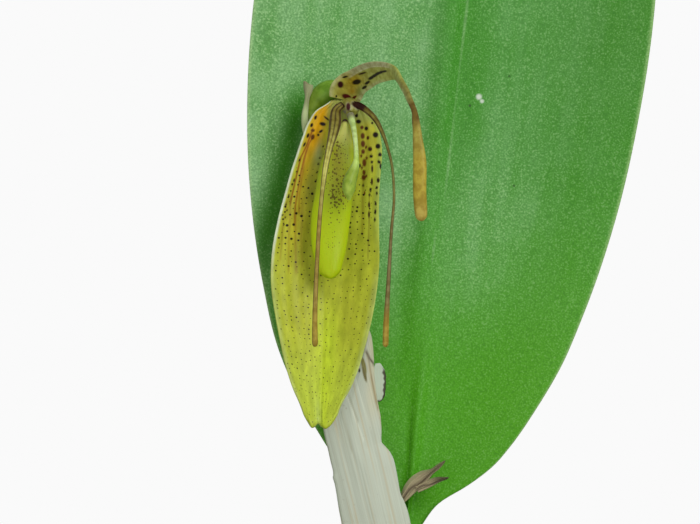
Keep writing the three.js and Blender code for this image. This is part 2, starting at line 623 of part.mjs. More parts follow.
add('column', tube(curveThrough([
  v(0.03, -7.3, 147.3), v(0.12, -8.6, 146.3), v(0.26, -9.8, 145), v(0.36, -10.4, 143.8), v(0.26, -10.7, 142.8),
  v(0, -10.7, 142), v(-0.13, -10.5, 141.1),
]), [0.28, 0.28, 0.28, 0.28, 0.36, 0.48, 0.3], 7, 12), COLOURS.column);

export default potted;
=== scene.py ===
import math
import random

import bmesh
import bpy
import numpy as np
from bpy.props import FloatProperty, FloatVectorProperty, IntProperty, PointerProperty
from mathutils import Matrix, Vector, noise


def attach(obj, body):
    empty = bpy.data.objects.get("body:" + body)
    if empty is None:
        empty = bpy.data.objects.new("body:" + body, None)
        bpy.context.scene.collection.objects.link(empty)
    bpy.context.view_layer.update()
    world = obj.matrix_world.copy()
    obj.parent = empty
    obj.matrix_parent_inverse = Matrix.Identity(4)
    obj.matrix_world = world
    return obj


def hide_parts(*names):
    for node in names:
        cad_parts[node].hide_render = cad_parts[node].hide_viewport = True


bl_info = {
    "name": "Potted Restrepia mendozae",
    "version": (1, 0, 0),
    "blender": (4, 5, 0),
    "location": "View3D > Sidebar > Orchid",
    "description": "Dresses the packed parts of a small potted orchid with finer pieces and materials",
    "category": "Object",
}

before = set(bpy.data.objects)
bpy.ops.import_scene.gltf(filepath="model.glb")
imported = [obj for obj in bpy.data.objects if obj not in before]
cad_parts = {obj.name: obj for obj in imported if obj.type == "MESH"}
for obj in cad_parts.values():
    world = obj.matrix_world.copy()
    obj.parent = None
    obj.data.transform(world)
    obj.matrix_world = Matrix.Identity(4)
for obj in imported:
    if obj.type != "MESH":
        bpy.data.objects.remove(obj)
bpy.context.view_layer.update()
MM = 0.001

# Half-width of a leaf blade, as a share of its widest, against the share of its length.
BLADE_OUTLINE = [
    (0, 0.07), (0.027, 0.155), (0.048, 0.29), (0.07, 0.405), (0.091, 0.48), (0.134, 0.604), (0.176, 0.704),
    (0.24, 0.805), (0.35, 0.925), (0.457, 0.985), (0.564, 1), (0.68, 0.96), (0.78, 0.86), (0.87, 0.69),
    (0.94, 0.47), (0.98, 0.26), (1, 0.07),
]
PETIOLE = 3.4
PETIOLE_HALF = 1.0
TOWARDS_VIEWER = (0, -1, 0)

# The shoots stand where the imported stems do. All lengths in these tables are in millimetres.
SHOOTS = [
    {
        "foot": (1, -5.5), "stem": [(1.3, -6, 80), (2.3, -5, 103), (3.15, -3.6, 115.2)], "sheaths": 5,
        "to": 0.97, "leaf": [
            (3.5, -3.1, 115.6), (3.85, -2.6, 119), (4.35, -1.9, 124.8), (5, -1.1, 134), (6.35, -0.7, 148),
            (8, -0.8, 162), (9.8, 0.6, 182.5),
        ],
        "half": 13.6, "cup": 1.4, "face": (0, -1, 0),
    },
    {
        "foot": (2.5, 4.5), "stem": [(2.8, 5.5, 85), (2.4, 6.5, 120)], "sheaths": 5, "to": 0.96,
        "leaf": [(2.4, 6.6, 120.4), (2.9, 7, 124.4), (5, 8.6, 145), (6.4, 8.2, 160), (7, 5.6, 174)],
        "half": 10.8, "cup": 1.2, "face": (0.1, 1, 0.1),
    },
    {
        "foot": (-8, 1.5), "stem": [(-13, 2, 74), (-24, 3, 100)], "sheaths": 5, "to": 0.95,
        "leaf": [(-24.2, 3, 100.4), (-26, 3.2, 103.8), (-36, 4, 121), (-45, 4.6, 135), (-52, 5.4, 143)],
        "half": 10.4, "cup": 1.6, "face": (0.75, -0.5, 0.45),
    },
    {
        "foot": (9, 0), "stem": [(14.5, -1, 75), (24, -2, 97)], "sheaths": 5, "to": 0.95,
        "leaf": [(24.3, -2, 97.4), (26, -2.2, 100.6), (34, -3.4, 117), (41, -4.4, 131), (48, -5.6, 142)],
        "half": 10.2, "cup": 1.5, "face": (-0.7, -0.6, 0.4),
    },
    {
        "foot": (3, 12), "stem": [(2.9, 15, 84), (2.8, 20, 121)], "sheaths": 5, "to": 0.96,
        "leaf": [(2.8, 20.1, 121.4), (3, 21, 125.2), (4.6, 25.8, 143), (5.6, 30.4, 158), (6, 36, 169)],
        "half": 10.6, "cup": 1.3, "face": (0, -1, 0.4),
    },
    {
        "foot": (-7.5, -9), "stem": [(-9.5, -11.5, 68), (-12.5, -15.5, 77)], "sheaths": 3, "to": 0.93,
        "leaf": [
            (-12.7, -15.7, 77.4), (-13.6, -16.8, 80.4), (-17.6, -21.5, 92), (-20.6, -25.2, 100),
            (-23.5, -29.5, 105),
        ],
        "half": 7.8, "cup": 1.1, "face": (0.5, 0.6, 0.6),
    },
    {
        "foot": (11, 8.5), "stem": [(13.5, 11, 70), (17, 15, 81)], "sheaths": 3, "to": 0.93,
        "leaf": [(17.2, 15.2, 81.4), (18.4, 16.4, 84.4), (23, 20.6, 96), (26.4, 24, 105), (29.5, 28.5, 111)],
        "half": 8.2, "cup": 1.1, "face": (-0.6, -0.5, 0.6),
    },
    {
        "foot": (-6.5, 9), "stem": [(-9, 12.5, 72), (-12.5, 17.5, 84)], "sheaths": 3, "to": 0.93,
        "leaf": [
            (-12.7, 17.7, 84.4), (-13.6, 18.9, 87.4), (-17.4, 23.6, 98), (-20.2, 27.6, 106),
            (-22.5, 32.5, 111),
        ],
        "half": 7.9, "cup": 1.1, "face": (0.5, -0.7, 0.5),
    },
]
YOUNG = {"foot": (8.5, -10), "stem": [(10.6, -12.8, 73)], "sheaths": 3, "to": 0.9, "face": (0.6, -0.8, 0)}

# The drain holes' circle and radius, the mix's height at its rim, the rise to its middle and its radius
DRAIN_CIRCLE = 13
DRAIN_RADIUS = 3.5
MIX_TOP = 52
MOUND = 3.5
MIX_REACH = 29
# How far the bed's top lies below the tops of its chips, and how high a stem starts over the mix
BED_SINK = 1.3
STEM_START = 2.6
# Where the lowest sheath starts, as a share of its stem's length
FIRST_SHEATH = 0.01
# The photograph's camera looks level along +Y from here, in metres
CAMERA_AT = (0, -0.2673, 0.1369)
BACKDROP_WHITE = "#fafafa"
# What every fleshy part of the flower has in common
FLESH = {"IOR": 1.4, "Specular IOR Level": 0.25, "Subsurface Weight": 0.1}
# A healed scar and three dark pits on the leaf behind the flower: x, z, radius, colour and strength
LEAF_SCARS = [
    (8.82, 148.2, 0.2, "#dfe8d8", 0.8), (9.03, 147.9, 0.14, "#dfe8d8", 0.7),
    (8.2, 147.6, 0.1, "#2c4a22", 0.8), (10.9, 149.6, 0.09, "#2c4a22", 0.7),
    (11.2, 142.1, 0.09, "#2c4a22", 0.7),
]
MOSS = [("moss_front", (-15, -17), 6.4, 3.2, 5), ("moss_side", (19, -9.5), 5.4, 2.6, 9)]


def mound_top(x, y):
    """Height of the potting mix under a point, in millimetres."""
    return MIX_TOP + MOUND * (1 - (x * x + y * y) / (MIX_REACH * MIX_REACH))


def linear(hex_colour):
    """A colour written as sRGB hex, as the linear values that Blender's sockets take."""
    channels = [int(hex_colour[place:place + 2], 16) / 255 for place in (1, 3, 5)]
    return [c / 12.92 if c <= 0.04045 else ((c + 0.055) / 1.055) ** 2.4 for c in channels] + [1.0]


def smooth(low, high, x):
    """Rises smoothly from 0 at low to 1 at high."""
    t = np.clip((x - low) / (high - low), 0, 1)
    return t * t * (3 - 2 * t)


def bell(x, centre, width):
    """1 at the centre, falling off smoothly on both sides."""
    return np.exp(-(((x - centre) / width) ** 2))


def fair(table, x):
    """Reads a table of (place, value) pairs along a smooth curve."""
    at, value = np.array(table, float).T
    slope = np.gradient(value, at)
    k = np.clip(np.searchsorted(at, x) - 1, 0, len(at) - 2)
    gap = at[k + 1] - at[k]
    t = np.clip((x - at[k]) / gap, 0, 1)
    start = (1 + 2 * t) * (1 - t) ** 2 * value[k] + t * (1 - t) ** 2 * gap * slope[k]
    return start + t * t * (3 - 2 * t) * value[k + 1] + t * t * (t - 1) * gap * slope[k + 1]


def spread(values):
    """A list of values as a table over even shares from 0 to 1."""
    return list(zip(np.linspace(0, 1, len(values)), values))


def unit(vectors):
    """The vectors, each one long."""
    vectors = np.asarray(vectors, float)
    return vectors / np.linalg.norm(vectors, axis=-1, keepdims=True)


class Course:
    """A smooth line through points in millimetres, read by the share of its length."""

    def __init__(self, points):
        knots = np.array(points, float)
        knots = np.vstack([2 * knots[0] - knots[1], knots, 2 * knots[-1] - knots[-2]])
        t = np.linspace(0, 1, 24, endpoint=False)[:, None]
        line = []
        for before, start, end, after in zip(knots, knots[1:], knots[2:], knots[3:]):
            a, b, c = [np.linalg.norm(gap) ** 0.5 for gap in (start - before, end - start, after - end)]
            leave = b * ((start - before) / a - (end - before) / (a + b) + (end - start) / b)
            arrive = b * ((end - start) / b - (after - start) / (b + c) + (after - end) / c)
            bend = 3 * (end - start) - 2 * leave - arrive
            line.append(start + leave * t + bend * t ** 2 + (leave + arrive - 2 * (end - start)) * t ** 3)
        self.line = np.vstack(line + [knots[-2:-1]])
        steps = np.linalg.norm(np.diff(self.line, axis=0), axis=1)
        self.reach = np.concatenate([[0], np.cumsum(steps)])
        self.length = self.reach[-1]

    def at(self, shares):
        where = np.asarray(shares) * self.length
        return np.stack([np.interp(where, self.reach, self.line[:, k]) for k in range(3)], -1)

    def heading(self, shares):
        return unit(self.at(np.minimum(shares + 2e-3, 1)) - self.at(np.maximum(shares - 2e-3, 0)))


def stem_course(shoot):
    """The line of a shoot's stem, which rises straight from the rhizome and then leans its own way."""
    x, y = shoot["foot"]
    start = mound_top(x, y) + STEM_START
    return Course([(x, y, start), (x, y, start + 5.7), *shoot["stem"]])


def new_mesh(name, points, faces, edges=()):
    """A smooth-shaded mesh object from points in millimetres."""
    mesh = bpy.data.meshes.new(name)
    mesh.from_pydata(np.asarray(points, float) * MM, edges, faces)
    mesh.shade_smooth()
    piece = bpy.data.objects.new(name, mesh)
    bpy.context.scene.collection.objects.link(piece)
    return piece


def ringed(rings, sides):
    """The numbers of the points in a row of closed rings, and the quads between each ring and the next."""
    index = np.arange(rings * sides).reshape(rings, sides)
    after = np.roll(index, -1, axis=1)
    return index, np.stack([index[:-1], after[:-1], after[1:], index[1:]], -1).reshape(-1, 4).tolist()


def store(piece, label, values):
    """Stores a number, a vector or a linear colour for each point of a piece."""
    values = np.asarray(values, np.float32)
    kind, field = {1: ("FLOAT", "value"), 3: ("FLOAT_VECTOR", "vector"), 4: ("FLOAT_COLOR", "color")}[
        1 if values.ndim == 1 else values.shape[1]]
    layers = piece.data.attributes
    layer = layers.get(label) or layers.new(label, kind, "POINT")
    layer.data.foreach_set(field, values.ravel())


def points_of(piece):
    """The piece's points, in millimetres."""
    flat = np.empty(len(piece.data.vertices) * 3, np.float32)
    piece.data.vertices.foreach_get("co", flat)
    return flat.reshape(-1, 3) / MM


def place_of(piece):
    """The stored place of each point: across or round, millimetres along, and share of the length."""
    flat = np.empty(len(piece.data.vertices) * 3, np.float32)
    piece.data.attributes["place"].data.foreach_get("vector", flat)
    return flat.reshape(-1, 3).T


def settle(piece, slot, *nodes):
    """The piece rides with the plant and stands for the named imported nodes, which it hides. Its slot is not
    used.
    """
    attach(piece, "root")
    if nodes:
        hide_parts(*nodes)


def ground(hex_colour, like):
    """A tint of one colour for as many points as like has values."""
    return np.tile(linear(hex_colour), (len(like), 1))


def lay(tint, hex_colour, mask):
    """Lays a colour over a tint where the mask is 1."""
    return tint + (np.array(linear(hex_colour)) - tint) * np.clip(mask, 0, 1)[:, None]


def layered(tint, layers):
    """Lays (colour, mask) layers over a tint, one after the other."""
    for hex_colour, mask in layers:
        tint = lay(tint, hex_colour, mask)
    return tint


def spotted(tint, right, down, marks):
    """Lays oval marks on a tint. marks are (right, down, half-width, half-height, lean, colour), lengths in
    millimetres."""
    for at_right, at_down, wide, tall, lean, colour in marks:
        dx, dy = right - at_right, down - at_down
        across = dx * math.cos(lean) + dy * math.sin(lean)
        along = dy * math.cos(lean) - dx * math.sin(lean)
        tint = lay(tint, colour, smooth(1.35, 0.75, np.hypot(across / wide, along / tall)))
    return tint


def lined(tint, right, down, lines):
    """Draws lines that run downwards on a tint. lines are ((right, down) points, half-width, colour,
    strength)."""
    for points, half, colour, strength in lines:
        x, y = np.array(points, float).T
        ends = smooth(y[0] - 0.3, y[0] + 0.1, down) * smooth(y[-1] + 0.3, y[-1] - 0.1, down)
        tint = lay(tint, colour, bell(right, np.interp(down, y, x), half) * ends * strength)
    return tint


def seen(piece):
    """How far right of the flower's middle, and how far down, each point of a piece lies."""
    at = points_of(piece)
    return at[:, 0] - HUB[0], HUB[1] - at[:, 2]


def blade(name, course, faces, half_width, thickness, rows, columns, finish, lift=None, pull=None,
          tip=0.02, rim=6, blunt=False):
    """A closed blade with rounded rims, whose upper side looks along each of faces in turn, from its foot
    to its tip. Its half-width is a function of the share s of its length, or a table. Its thickness, which
    may be a number, its lift outwards and its pull back from the tip are functions of s and of the place u
    across, from -1 to 1. A blunt blade keeps its width to the end. Returns the piece with the u, the s and
    the upper side's mask of each point."""
    t = np.linspace(0, 1, rows + 1)
    s = t - 0.1 * np.sin(2 * np.pi * t)
    ahead = course.heading(s)[:, None]
    faces = np.atleast_2d(np.array(faces, float))
    stops = np.linspace(0, 1, len(faces))
    face = np.stack([np.interp(s, stops, faces[:, axis]) for axis in range(3)], -1)[:, None]
    side = unit(np.cross(ahead, face))
    out = np.cross(side, ahead)

    def sheet(count, sign):
        u = np.sin(np.linspace(-np.pi / 2, np.pi / 2, count + 1))
        share, across = np.meshgrid(s, u, indexing="ij")
        end = np.sqrt(1 - np.clip((share - (1 - tip)) / tip, 0, 0.995) ** 2)
        wide = half_width(share) if callable(half_width) else fair(half_width, share)
        wide = wide if blunt else wide * end
        middle = course.at(s)[:, None] + side * (wide * across)[..., None]
        if lift:
            middle = middle + out * lift(share, across)[..., None]
        if pull:
            middle = middle - ahead * pull(share, across)[..., None]
        thick = thickness(share, across) if callable(thickness) else thickness
        half = 0.5 * thick * end * (1 - np.abs(across) ** rim) ** 0.5
        return middle + out * (sign * half)[..., None], share, across

    # Three strips of the upper side meet one strip of the underside
    under = columns // 3
    front, front_share, front_across = sheet(3 * under, 1)
    back, back_share, back_across = sheet(under, -1)
    near = np.arange(front_share.size).reshape(front_share.shape)
    far = np.empty((rows + 1, under + 1), int)
    far[:, 0], far[:, -1] = near[:, 0], near[:, -1]
    far[:, 1:-1] = near.size + np.arange((rows + 1) * (under - 1)).reshape(rows + 1, under - 1)
    quads = [np.stack([near[:-1, :-1], near[:-1, 1:], near[1:, 1:], near[1:, :-1]], -1).reshape(-1, 4),
             np.stack([far[:-1, :-1], far[1:, :-1], far[1:, 1:], far[:-1, 1:]], -1).reshape(-1, 4)]
    skin = np.vstack(quads).tolist()
    for end, turn in ((0, -1), (-1, 1)):
        for j in range(under):
            loop = [*near[end, 3 * j:3 * j + 4], far[end, j + 1], far[end, j]]
            skin.append(list(dict.fromkeys(int(p) for p in loop))[::turn])
    points = np.vstack([front.reshape(-1, 3), back[:, 1:-1].reshape(-1, 3)])
    u = np.concatenate([front_across.ravel(), back_across[:, 1:-1].ravel()])
    shares = np.concatenate([front_share.ravel(), back_share[:, 1:-1].ravel()])
    upper = np.concatenate([np.ones(front_share.size), np.zeros(back_share[:, 1:-1].size)])
    piece = new_mesh(name, points, skin)
    piece.data.materials.append(finish)
    store(piece, "place", np.stack([u, shares * course.length, shares], -1))
    return piece, u, shares, upper


def add_node(tree, kind, links=None, **settings):
    """Adds a node. settings are its own options, and links gives its sockets values, nodes or outputs."""
    node = tree.nodes.new(kind)
    for option, value in settings.items():
        setattr(node, option, value)
    for socket, value in (links or {}).items():
        if isinstance(value, bpy.types.Node):
            value = next(output for output in value.outputs if output.enabled)
        if isinstance(value, bpy.types.NodeSocket):
            tree.links.new(value, node.inputs[socket])
        else:
            node.inputs[socket].default_value = value
    return node


def new_tree(name, **inputs):
    """A Geometry Nodes tree with named inputs, and the outputs of its input node."""
    tree = bpy.data.node_groups.new(name, "GeometryNodeTree")
    tree.interface.new_socket("Geometry", in_out="OUTPUT", socket_type="NodeSocketGeometry")
    tree.interface.new_socket("Geometry", in_out="INPUT", socket_type="NodeSocketGeometry")
    for label, kind in inputs.items():
        tree.interface.new_socket(label, in_out="INPUT", socket_type="NodeSocket" + kind)
    return tree, tree.nodes.new("NodeGroupInput").outputs


def end_tree(tree, geometry, finish):
    """Ends a tree with real, smooth geometry that wears the finish."""
    real = add_node(tree, "GeometryNodeRealizeInstances", {"Geometry": geometry})
    soft = add_node(tree, "GeometryNodeSetShadeSmooth", {"Geometry": real})
    dressed = add_node(tree, "GeometryNodeSetMaterial", {"Geometry": soft, "Material": finish})
    add_node(tree, "NodeGroupOutput", {"Geometry": dressed})
    return tree


def grown(name, source, tree, **inputs):
    """Runs a tree on an object, and keeps what it makes as a plain mesh in place of that object."""
    modifier = source.modifiers.new(tree.name, "NODES")
    modifier.node_group = tree
    for item in tree.interface.items_tree:
        if item.in_out == "INPUT" and item.name in inputs:
            modifier[item.identifier] = inputs[item.name]
    depsgraph = bpy.context.evaluated_depsgraph_get()
    mesh = bpy.data.meshes.new_from_object(source.evaluated_get(depsgraph), preserve_all_data_layers=True,
                                           depsgraph=depsgraph)
    bpy.data.objects.remove(source)
    piece = bpy.data.objects.new(name, mesh)
    bpy.context.scene.collection.objects.link(piece)
    return piece


def baked(piece):
    """Keeps what a piece's modifiers make of it as its mesh, and gives that mesh."""
    depsgraph = bpy.context.evaluated_depsgraph_get()
    mesh = bpy.data.meshes.new_from_object(piece.evaluated_get(depsgraph), depsgraph=depsgraph)
    piece.modifiers.clear()
    piece.data = mesh
    return mesh


def tube_tree():
    """Runs a round skin along a path whose points hold its thickness."""
    tree, given = new_tree("tube_along_a_path", Sides="Int", Finish="Material")
    along = add_node(tree, "GeometryNodeSplineParameter")
    path = add_node(tree, "GeometryNodeMeshToCurve", {"Mesh": given["Geometry"]})
    millimetres = add_node(tree, "ShaderNodeMath", {0: along.outputs["Length"], 1: 1 / MM},
                           operation="MULTIPLY")
    way = add_node(tree, "ShaderNodeCombineXYZ", {"Y": millimetres, "Z": along.outputs["Factor"]})
    path = add_node(tree, "GeometryNodeStoreNamedAttribute", {"Geometry": path, "Name": "way", "Value": way},
                    data_type="FLOAT_VECTOR")
    ring = add_node(tree, "GeometryNodeCurvePrimitiveCircle", {"Resolution": given["Sides"], "Radius": 1.0})
    turn = add_node(tree, "ShaderNodeCombineXYZ", {"X": along.outputs["Factor"]})
    ring = add_node(tree, "GeometryNodeStoreNamedAttribute",
                    {"Geometry": ring, "Name": "turn", "Value": turn}, data_type="FLOAT_VECTOR")
    radius = add_node(tree, "GeometryNodeInputNamedAttribute", {"Name": "thickness"}, data_type="FLOAT")
    skin = add_node(tree, "GeometryNodeCurveToMesh",
                    {"Curve": path, "Profile Curve": ring, "Scale": radius, "Fill Caps": True})
    way = add_node(tree, "GeometryNodeInputNamedAttribute", {"Name": "way"}, data_type="FLOAT_VECTOR")
    turn = add_node(tree, "GeometryNodeInputNamedAttribute", {"Name": "turn"}, data_type="FLOAT_VECTOR")
    place = add_node(tree, "ShaderNodeVectorMath", {0: way, 1: turn}, operation="ADD")
    skin = add_node(tree, "GeometryNodeStoreNamedAttribute",
                    {"Geometry": skin, "Name": "place", "Value": place}, data_type="FLOAT_VECTOR")
    return end_tree(tree, skin, given["Finish"])


def tube(name, course, radii, finish, rows=60, sides=20):
    """A round piece along a course. radii are spread evenly over its length."""
    s = np.linspace(0, 1, rows + 1)
    path = new_mesh(name, course.at(s), [], [(k, k + 1) for k in range(rows)])
    store(path, "thickness", np.maximum(fair(spread(radii), s), 0.01) * MM)
    tree = bpy.data.node_groups.get("tube_along_a_path") or tube_tree()
    return grown(name, path, tree, Sides=sides, Finish=finish)


def sheath_tree():
    """Threads a row of copies of one sheath on a stem, each turned half a turn from the last."""
    tree, given = new_tree("sheaths_along_a_stem", Sheath="Object", Count="Int", First="Float", Step="Float",
                           Growth="Float", Face="Vector", Finish="Material")
    stem = add_node(tree, "GeometryNodeMeshToCurve", {"Mesh": given["Geometry"]})
    first = add_node(tree, "ShaderNodeCombineXYZ", {"Z": given["First"]})
    step = add_node(tree, "ShaderNodeCombineXYZ", {"Z": given["Step"]})
    row = add_node(tree, "GeometryNodeMeshLine", {"Count": given["Count"], "Start Location": first,
                                                  "Offset": step})
    index = add_node(tree, "GeometryNodeInputIndex")
    half_turn = add_node(tree, "ShaderNodeMath", {0: index, 1: math.pi}, operation="MULTIPLY")
    turn = add_node(tree, "ShaderNodeCombineXYZ", {"Z": half_turn})
    wider = add_node(tree, "ShaderNodeMath", {0: index, 1: given["Growth"], 2: 0.9},
                     operation="MULTIPLY_ADD")
    scale = add_node(tree, "ShaderNodeCombineXYZ", {"X": wider, "Y": wider, "Z": 1.0})
    sheath = add_node(tree, "GeometryNodeObjectInfo", {"Object": given["Sheath"]})
    stack = add_node(tree, "GeometryNodeInstanceOnPoints",
                     {"Points": row, "Instance": sheath.outputs["Geometry"], "Rotation": turn,
                      "Scale": scale})
    shade = add_node(tree, "FunctionNodeRandomValue", {"Seed": 7})
    stack = add_node(tree, "GeometryNodeStoreNamedAttribute",
                     {"Geometry": stack, "Name": "shade", "Value": shade.outputs[1]}, domain="INSTANCE")
    stack = add_node(tree, "GeometryNodeRealizeInstances", {"Geometry": stack})
    local = add_node(tree, "ShaderNodeSeparateXYZ", {0: add_node(tree, "GeometryNodeInputPosition")})
    spot = add_node(tree, "GeometryNodeSampleCurve", {"Curves": stem, "Length": local.outputs["Z"]},
                    mode="LENGTH")
    across = add_node(tree, "ShaderNodeVectorMath", {0: spot.outputs["Tangent"], 1: given["Face"]},
                      operation="CROSS_PRODUCT")
    side = add_node(tree, "ShaderNodeVectorMath", {0: across}, operation="NORMALIZE")
    out = add_node(tree, "ShaderNodeVectorMath", {0: side, 1: spot.outputs["Tangent"]},
                   operation="CROSS_PRODUCT")
    sideways = add_node(tree, "ShaderNodeVectorMath", {0: side, "Scale": local.outputs["X"]},
                        operation="SCALE")
    outwards = add_node(tree, "ShaderNodeVectorMath", {0: out, "Scale": local.outputs["Y"]},
                        operation="SCALE")
    place = add_node(tree, "ShaderNodeVectorMath", {0: spot.outputs["Position"], 1: sideways},
                     operation="ADD")
    place = add_node(tree, "ShaderNodeVectorMath", {0: place, 1: outwards}, operation="ADD")
    stack = add_node(tree, "GeometryNodeSetPosition", {"Geometry": stack, "Position": place})
    return end_tree(tree, stack, given["Finish"])


def scatter_tree():
    """Strews copies of an item over a surface, denser where its points' growth is high, and roughens them."""
    tree, given = new_tree("strewn_over_a_surface", Item="Object", Spacing="Float", Density="Float",
                           Seed="Int", Smallest="Vector", Largest="Vector", Tilt="Float", Rough="Float",
                           Finish="Material")
    growth = add_node(tree, "GeometryNodeInputNamedAttribute", {"Name": "growth"}, data_type="FLOAT")
    spots = add_node(tree, "GeometryNodeDistributePointsOnFaces",
                     {"Mesh": given["Geometry"], "Distance Min": given["Spacing"],
                      "Density Max": given["Density"], "Density Factor": growth, "Seed": given["Seed"]},
                      distribute_method="POISSON")
    less = add_node(tree, "ShaderNodeMath", {0: given["Tilt"], 1: -1.0}, operation="MULTIPLY")
    low = add_node(tree, "ShaderNodeCombineXYZ", {"X": less, "Y": less, "Z": -math.pi})
    high = add_node(tree, "ShaderNodeCombineXYZ", {"X": given["Tilt"], "Y": given["Tilt"], "Z": math.pi})
    lean = add_node(tree, "FunctionNodeRandomValue", {0: low, 1: high, "Seed": 3}, data_type="FLOAT_VECTOR")
    turn = add_node(tree, "FunctionNodeRotateRotation",
                    {"Rotation": spots.outputs["Rotation"], "Rotate By": lean}, rotation_space="LOCAL")
    size = add_node(tree, "FunctionNodeRandomValue", {0: given["Smallest"], 1: given["Largest"], "Seed": 5},
                    data_type="FLOAT_VECTOR")
    item = add_node(tree, "GeometryNodeObjectInfo", {"Object": given["Item"]})
    strewn = add_node(tree, "GeometryNodeInstanceOnPoints",
                      {"Points": spots, "Instance": item.outputs["Geometry"], "Rotation": turn,
                       "Scale": size})
    shade = add_node(tree, "FunctionNodeRandomValue", {"Seed": 9})
    strewn = add_node(tree, "GeometryNodeStoreNamedAttribute",
                      {"Geometry": strewn, "Name": "shade", "Value": shade.outputs[1]}, domain="INSTANCE")
    strewn = add_node(tree, "GeometryNodeRealizeInstances", {"Geometry": strewn})
    place = add_node(tree, "GeometryNodeInputPosition")
    grain = add_node(tree, "ShaderNodeTexNoise", {"Vector": place, "Scale": 1 / (2.2 * MM), "Detail": 1.0})
    push = add_node(tree, "ShaderNodeVectorMath", {0: grain.outputs["Color"], 1: (0.5, 0.5, 0.5)},
                    operation="SUBTRACT")
    push = add_node(tree, "ShaderNodeVectorMath", {0: push, "Scale": given["Rough"]}, operation="SCALE")
    strewn = add_node(tree, "GeometryNodeSetPosition", {"Geometry": strewn, "Offset": push})
    return end_tree(tree, strewn, given["Finish"])


def strew(name, surface, item, finish, spacing, per_cm2, seed, smallest, largest, tilt, rough):
    """A piece of many copies of an item on a copy of a surface. Lengths are in millimetres."""
    tree = bpy.data.node_groups.get("strewn_over_a_surface") or scatter_tree()
    bed = surface.copy()
    bpy.context.scene.collection.objects.link(bed)
    return grown(name, bed, tree, Item=item, Spacing=spacing * MM, Density=per_cm2 * 1e4, Seed=seed,
                 Smallest=smallest, Largest=largest, Tilt=tilt, Rough=rough * MM, Finish=finish)


def new_material(name):
    """A material with an empty tree, and the place of each point on its piece."""
    material = bpy.data.materials.new(name)
    material.use_nodes = True
    tree = material.node_tree
    tree.nodes.clear()
    return material, tree, add_node(tree, "ShaderNodeTexCoord").outputs["Object"]


def veiled(tree, tint, hex_colour, pattern, low, high, most=1.0, blend="MIX"):
    """Lays a colour over a tint, from not at all where a pattern is low to most of it where it is high."""
    share = add_node(tree, "ShaderNodeMapRange", {
        "Value": pattern, "From Min": low, "From Max": high, "To Max": most})
    return add_node(tree, "ShaderNodeMix", {0: share, 6: tint, 7: linear(hex_colour)}, data_type="RGBA",
                    blend_type=blend)


def skinned(tree, tint, relief, strength, depth_mm, looks):
    """Ends a material's tree with a tint, a fine relief and the Principled shader's other looks."""
    bump = add_node(tree, "ShaderNodeBump", {
        "Height": relief, "Strength": strength, "Distance": depth_mm * MM})
    shader = add_node(tree, "ShaderNodeBsdfPrincipled", {"Base Color": tint, "Normal": bump, **looks})
    add_node(tree, "ShaderNodeOutputMaterial", {"Surface": shader})


def leaf_finish():
    """Living leathery leaf: waxy and satin. A whitish layer, partly waxy coat and partly painted sheen,
    lies on it in soft streaks; its midrib is a pale line 0.2 mm wide, and dark and pale specks
    an eighth of a millimetre wide stipple it all over."""
    material, tree, here = new_material("leathery_leaf")
    place = add_node(tree, "ShaderNodeAttribute", attribute_name="place").outputs["Vector"]
    tint = add_node(tree, "ShaderNodeAttribute", attribute_name="tint")
    bloom = add_node(tree, "ShaderNodeAttribute", attribute_name="bloom").outputs["Fac"]
    aside = add_node(tree, "ShaderNodeAttribute", attribute_name="from_midrib").outputs["Fac"]
    # Pale specks show more where the whitish coat and painted sheen lie
    grain = add_node(tree, "ShaderNodeMapRange", {
        "Value": bloom, "From Max": 0.2, "To Min": 0.12, "To Max": 0.42})
    # The whitish coat and painted sheen wander along the blade in streaks a millimetre wide,
    # and in clouds 2.6 mm wide
    along = add_node(tree, "ShaderNodeMapping", {"Vector": place, "Scale": (13, 0.1, 0)})
    for vector, scale, detail in ((along, 1.0, 2.0), (here, 1 / (2.6 * MM), 3.0)):
        wander = add_node(tree, "ShaderNodeTexNoise", {"Vector": vector, "Scale": scale, "Detail": detail})
        wander = add_node(tree, "ShaderNodeMapRange", {
            "Value": wander, "From Min": 0.3, "From Max": 0.7, "To Min": 0.72, "To Max": 1.28})
        bloom = add_node(tree, "ShaderNodeMath", {0: bloom, 1: wander}, operation="MULTIPLY")
    # The whitish colour laid here is partly waxy coat and partly painted sheen
    tint = add_node(tree, "ShaderNodeMix", {0: bloom, 6: tint, 7: linear("#cdf4c6")}, data_type="RGBA")
    tint = veiled(tree, tint, "#b4d6a0", aside, 0.17, 0.03, 0.24)
    speck = add_node(tree, "ShaderNodeTexNoise", {"Vector": here, "Scale": 1 / (0.12 * MM), "Detail": 1.0})
    tint = veiled(tree, tint, "#1f5a17", speck, 0.52, 0.34, 0.3)
    tint = veiled(tree, tint, "#b8dea0", speck, 0.54, 0.72, grain)
    # Scars count their distance from front to back so little that they show on the foremost leaf alone
    flat = add_node(tree, "ShaderNodeVectorMath", {0: here, 1: (1, 0.03, 1)}, operation="MULTIPLY")
    for x, z, reach, colour, strength in LEAF_SCARS:
        centre = (x * MM, -0.03 * MM, z * MM)
        away = add_node(tree, "ShaderNodeVectorMath", {0: flat, 1: centre}, operation="DISTANCE")
        tint = veiled(tree, tint, colour, away, 1.3 * reach * MM, 0.6 * reach * MM, strength)
    skinned(tree, tint, speck, 0.3, 0.05, {"Roughness": 0.46, "IOR": 1.4, "Specular IOR Level": 0.25})
    return material


def leaf_tint(u, s, upper, age):
    """Colours of a leaf blade under its whitish coat and painted sheen: brighter towards the stalk,
    with pale rims painted as a highlight where light shines through the thin edge.
    """
    tint = layered(ground("#3a8c10", u), [
        ("#4c9c0c", smooth(0.45, 0.12, s)),
        ("#35840c", smooth(0.2, 0.9, u) * smooth(0.3, 0.6, s)),
        # Painted highlight: the rims are lightened where light shines through the thin edge
        ("#9cc47a", smooth(0.976, 0.997, np.abs(u)) * 0.7),
        ("#7c9038", bell(s, 1, 0.03) * 0.5),
        ("#4c7c14", age * smooth(0.2, 0.9, np.abs(u)) * 0.5),
    ])
    return lay(tint, "#669645", (1 - upper) * 0.8)


